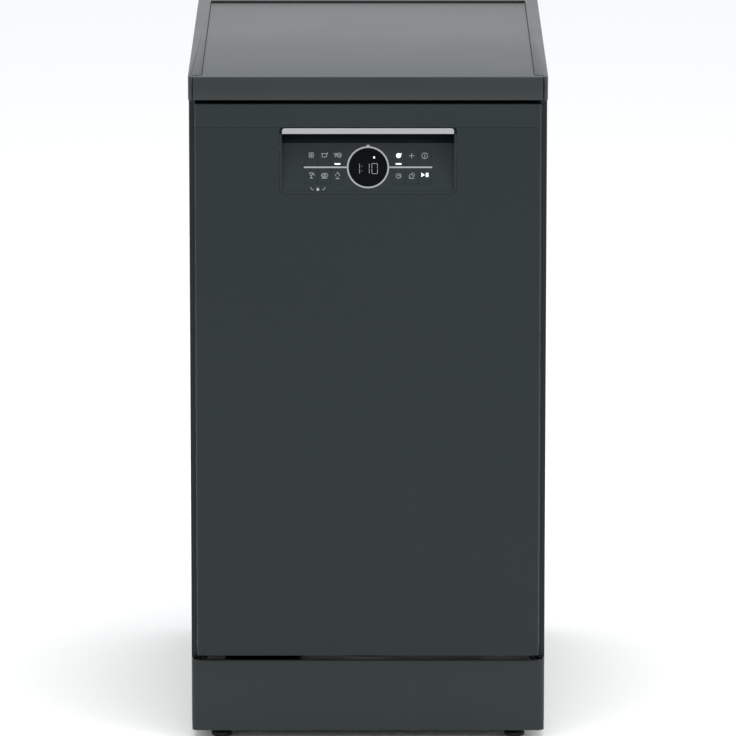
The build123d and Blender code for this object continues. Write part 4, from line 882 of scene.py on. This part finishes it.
upper_low, upper_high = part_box("upper_rack")
upper_rim = upper_high.z - RIM_WIRE
UPPER_DEPTH = 150.0 * MM
upper_floor = upper_rim - UPPER_DEPTH
WEB_HALF = 6.0 * MM
WEB_INSET = 12.0 * MM
FEED_DROP = 14.0 * MM
FEED_GAP = 1.2 * MM
FEED_BEND = 12.0 * MM
FEED_PIPE = 8.0 * MM
upper_form = bmesh.new()
bent_rack(upper_form, upper_floor, upper_rim, 16 * MM)
roller_y = (rack_y[0] + 60 * MM, rack_y[1] - 60 * MM)
for x in (-100 * MM, 100 * MM):
    tine_row(upper_form, upper_floor, x, roller_y, 48 * MM, 10, 6 * MM)
roller_outline = in_mm([(0.0, 0.0), (6.0, 0.0), (6.2, 0.4), (6.2, 1.9), (0.0, 2.0)])
rail_z = (rail_low.z + rail_high.z) / 2
for side in (-1, 1):
    web = sorted((side * (rack_half + 1.5 * MM), side * (upper_high.x - 2.0 * MM)))
    web_low = (web[0], rack_y[0] + WEB_INSET, rail_z - WEB_HALF)
    block(upper_form, web_low, (web[1], rack_y[1] - WEB_INSET, rail_z + WEB_HALF), 1.2 * MM)
    for y in roller_y:
        turned(upper_form, roller_outline, (side * upper_high.x, y, rail_z), (-side, 0.0, 0.0), steps=24)
pipe_z = upper_floor - FEED_DROP
feed_low = (0.0, spray_centre.y, upper_low.z + 1.0 * MM)
feed_end = (0.0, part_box("spray_feed_duct")[0].y - FEED_GAP, pipe_z)
feed_path = eased([feed_low, (0.0, spray_centre.y, pipe_z), feed_end], FEED_BEND, steps=6)
wire(upper_form, feed_path, FEED_PIPE, sides=20)
piece("upper_rack_wires", upper_form, nylon, "upper_rack", ["upper_rack"])


# ---------------------------------------------------------------- spray arms
# Each arm is two welded mouldings: a crowned blade on a hub that spins on its post. The jets stand
# in two staggered rows along the blade's top.

BLADE_HALF = 22.0 * MM
BLADE_THICK = 11.0 * MM
JETS = 9
JET_FIRST = 38.0 * MM
JET_PITCH = 14.5 * MM
JET_SWAY = 4.0 * MM
JET_SUNK = 0.4 * MM
jet_outline = in_mm([(0.0, 0.0), (3.4, 0.0), (3.0, 1.2), (1.3, 1.3), (1.2, 0.5), (0.0, 0.5)])


def spray_blade(form, node, blade_up):
    """Blade with rounded ends, standing above its hub's foot, with its jets and the hub."""
    low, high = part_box(node)
    reach = (high.x - low.x) / 2
    hub_tall = high.z - low.z
    base = low.z + blade_up
    outline = []
    for side in (1, -1):
        for step in range(13):
            turn = radians(-90 + 15 * step)
            x = side * (reach - BLADE_HALF + BLADE_HALF * cos(turn))
            outline.append((x, side * BLADE_HALF * sin(turn)))
    place = Matrix.Translation((0.0, spray_centre.y, base))
    raised(form, outline, place, BLADE_THICK, 2.6 * MM)
    for count in range(JETS):
        x = JET_FIRST + count * JET_PITCH
        sway = JET_SWAY if count % 2 else -JET_SWAY
        for side in (-1, 1):
            seat = (side * x, spray_centre.y + sway, base + BLADE_THICK - JET_SUNK)
            turned(form, jet_outline, seat, steps=14)
    hub = [(0.0, 0.0), (17.0 * MM, 0.0), (18.0 * MM, 1.0 * MM), (21.5 * MM, hub_tall * 0.4),
           (21.5 * MM, hub_tall * 0.62), (15.0 * MM, hub_tall - 2.0 * MM),
           (13.5 * MM, hub_tall - 0.1 * MM), (0.0, hub_tall - 0.1 * MM)]
    turned(form, hub, (0.0, spray_centre.y, low.z), steps=40)


for node, blade_up in (("lower_spray_arm", 4.0 * MM), ("upper_spray_arm", 5.0 * MM)):
    form = bmesh.new()
    spray_blade(form, node, blade_up)
    piece(f"{node}_blade", form, grey_plastic, node, [node])


# ---------------------------------------------------------------- cutlery basket
# A moulded basket of open lattice with a solid rim round its mouth. Cross walls of the same lattice
# part it into three cells.

basket_low, basket_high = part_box("cutlery_basket")
BASKET_WALL = 2.0 * MM
BASKET_RIB = 3.0 * MM
BASKET_CELLS = 3
RIM_WALL = 2.6 * MM
RIM_BAND = 7.0 * MM
RIM_EASE = 0.7 * MM
basket_form = bmesh.new()


def lattice(form, place, size, cells):
    """A wall of open cells: a grid, each cell inset, its middle taken out, then thickened."""
    to_corner = Matrix.Translation((0.5, 0.5, 0.0))
    stretched = place @ Matrix.Diagonal((size[0], size[1], 1.0, 1.0)) @ to_corner
    grid = bmesh.ops.create_grid(form, x_segments=cells[0], y_segments=cells[1], size=0.5,
                                 matrix=stretched)
    middles = list({face for corner in grid["verts"] for face in corner.link_faces})
    inset = bmesh.ops.inset_individual(form, faces=middles, thickness=BASKET_RIB / 2,
                                       use_even_offset=True)
    bmesh.ops.delete(form, geom=middles, context="FACES_ONLY")
    made = bmesh.ops.extrude_face_region(form, geom=inset["faces"])["geom"]
    lifted = [part for part in made if isinstance(part, bmesh.types.BMVert)]
    bmesh.ops.translate(form, vec=place.to_3x3() @ Vector((0.0, 0.0, BASKET_WALL)), verts=lifted)


span_x = basket_high.x - basket_low.x
span_y = basket_high.y - basket_low.y
tall = basket_high.z - basket_low.z
for step in range(BASKET_CELLS + 1):
    y = basket_low.y + (span_y - BASKET_WALL) * step / BASKET_CELLS
    across = axes((1, 0, 0), (0, 0, 1), (0, 1, 0), (basket_low.x, y, basket_low.z))
    lattice(basket_form, across, (span_x, tall), (5, 8))
for x in (basket_low.x, basket_high.x - BASKET_WALL):
    along = axes((0, 1, 0), (0, 0, 1), (1, 0, 0), (x, basket_low.y, basket_low.z))
    lattice(basket_form, along, (span_y, tall), (18, 8))
under = axes((1, 0, 0), (0, 1, 0), (0, 0, 1), basket_low)
lattice(basket_form, under, (span_x, span_y), (6, 18))
rim_low = basket_high.z - RIM_BAND
for x in (basket_low.x, basket_high.x - RIM_WALL):
    rim_end = (x + RIM_WALL, basket_high.y, basket_high.z)
    block(basket_form, (x, basket_low.y, rim_low), rim_end, RIM_EASE)
for y in (basket_low.y, basket_high.y - RIM_WALL):
    rim_end = (basket_high.x, y + RIM_WALL, basket_high.z)
    block(basket_form, (basket_low.x, y, rim_low), rim_end, RIM_EASE)
piece("cutlery_basket_lattice", basket_form, grey_plastic, "lower_rack", ["cutlery_basket"])


# ---------------------------------------------------------------- detergent and rinse-aid dispenser
# A moulded housing is clipped into the door liner. A ribbed lid slides up from the detergent
# well, and the rinse-aid port has a quarter-turn cap with a finger bar.

LID_SHEET = 1.5 * MM
LID_RIBS = 5
LID_RIB_FIRST = 8.0 * MM
LID_RIB_PITCH = 3.2 * MM
LID_RIB_TALL = 1.4 * MM
LID_RIB_INSET = 18.0 * MM
lid_low, lid_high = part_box("dispenser_lid")
lid_form = bmesh.new()
block(lid_form, lid_low, (lid_high.x, lid_low.y + LID_SHEET, lid_high.z), 0.6 * MM)
for step in range(LID_RIBS):
    z = lid_low.z + LID_RIB_FIRST + step * LID_RIB_PITCH
    rib_low = (lid_low.x + LID_RIB_INSET, lid_low.y + 1.0 * MM, z)
    block(lid_form, rib_low, (lid_high.x - LID_RIB_INSET, lid_high.y, z + LID_RIB_TALL), 0.5 * MM)
piece("dispenser_lid_ribbed", lid_form, grey_plastic, "dispenser_lid", ["dispenser_lid"])

PORT_BAR_INSET = 4.0 * MM
PORT_BAR_LOW = 7.0 * MM
PORT_BAR_HALF = 2.4 * MM
port_low, port_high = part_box("rinse_aid_cap")
port_centre = (port_low + port_high) / 2
port = (port_high.x - port_low.x) / 2 / MM
port_form = bmesh.new()
port_outline = in_mm([(0.0, 0.0), (9.0, 0.0), (9.0, 6.2), (port - 0.6, 6.2), (port, 6.8), (port - 1.0, 8.0),
                      (7.0, 7.4), (0.0, 7.4)])
turned(port_form, port_outline, (port_centre.x, port_low.y, port_centre.z), (0.0, 1.0, 0.0))
bar_low = (port_low.x + PORT_BAR_INSET, port_low.y + PORT_BAR_LOW, port_centre.z - PORT_BAR_HALF)
bar_high = (port_high.x - PORT_BAR_INSET, port_high.y, port_centre.z + PORT_BAR_HALF)
block(port_form, bar_low, bar_high, 0.8 * MM)
piece("rinse_aid_cap_turned", port_form, salt_plastic, "rinse_aid_cap", ["rinse_aid_cap"])


# ---------------------------------------------------------------- hinges and services
# Coil springs hang beside the tub and take the door's weight. The pumps, the softener tank and
# the air break are moulded, and the supply, drain and mains fittings stand out at the back.

white_plastic = moulded_finish("white_plastic", (0.60, 0.60, 0.57), 0.38, 0.45)
pump_plastic = moulded_finish("pump_housing", (0.035, 0.036, 0.040), 0.46, 0.4)
dress(white_plastic, "water_softener", "air_break_chamber", "inlet_valve")
dress(pump_plastic, "circulation_pump", "drain_pump")

spring_low, spring_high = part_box("door_springs")
SPRING_WIRE = 0.8 * MM
COIL = 6.0 * MM
TURNS = 44
TURN_STEPS = 12
spring_y = (spring_low.y + spring_high.y) / 2
coil_tall = spring_high.z - spring_low.z - 2 * SPRING_WIRE
coil_radius = COIL - SPRING_WIRE
spring_form = bmesh.new()
for x in (spring_low.x + COIL, spring_high.x - COIL):
    path = []
    for step in range(TURNS * TURN_STEPS + 1):
        turn = 2 * pi * step / TURN_STEPS
        z = spring_low.z + SPRING_WIRE + coil_tall * step / (TURNS * TURN_STEPS)
        path.append((x + coil_radius * cos(turn), spring_y + coil_radius * sin(turn), z))
    wire(spring_form, path, SPRING_WIRE, sides=6)
piece("door_spring_coils", spring_form, zinc, "cabinet", ["door_springs"])


low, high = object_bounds()
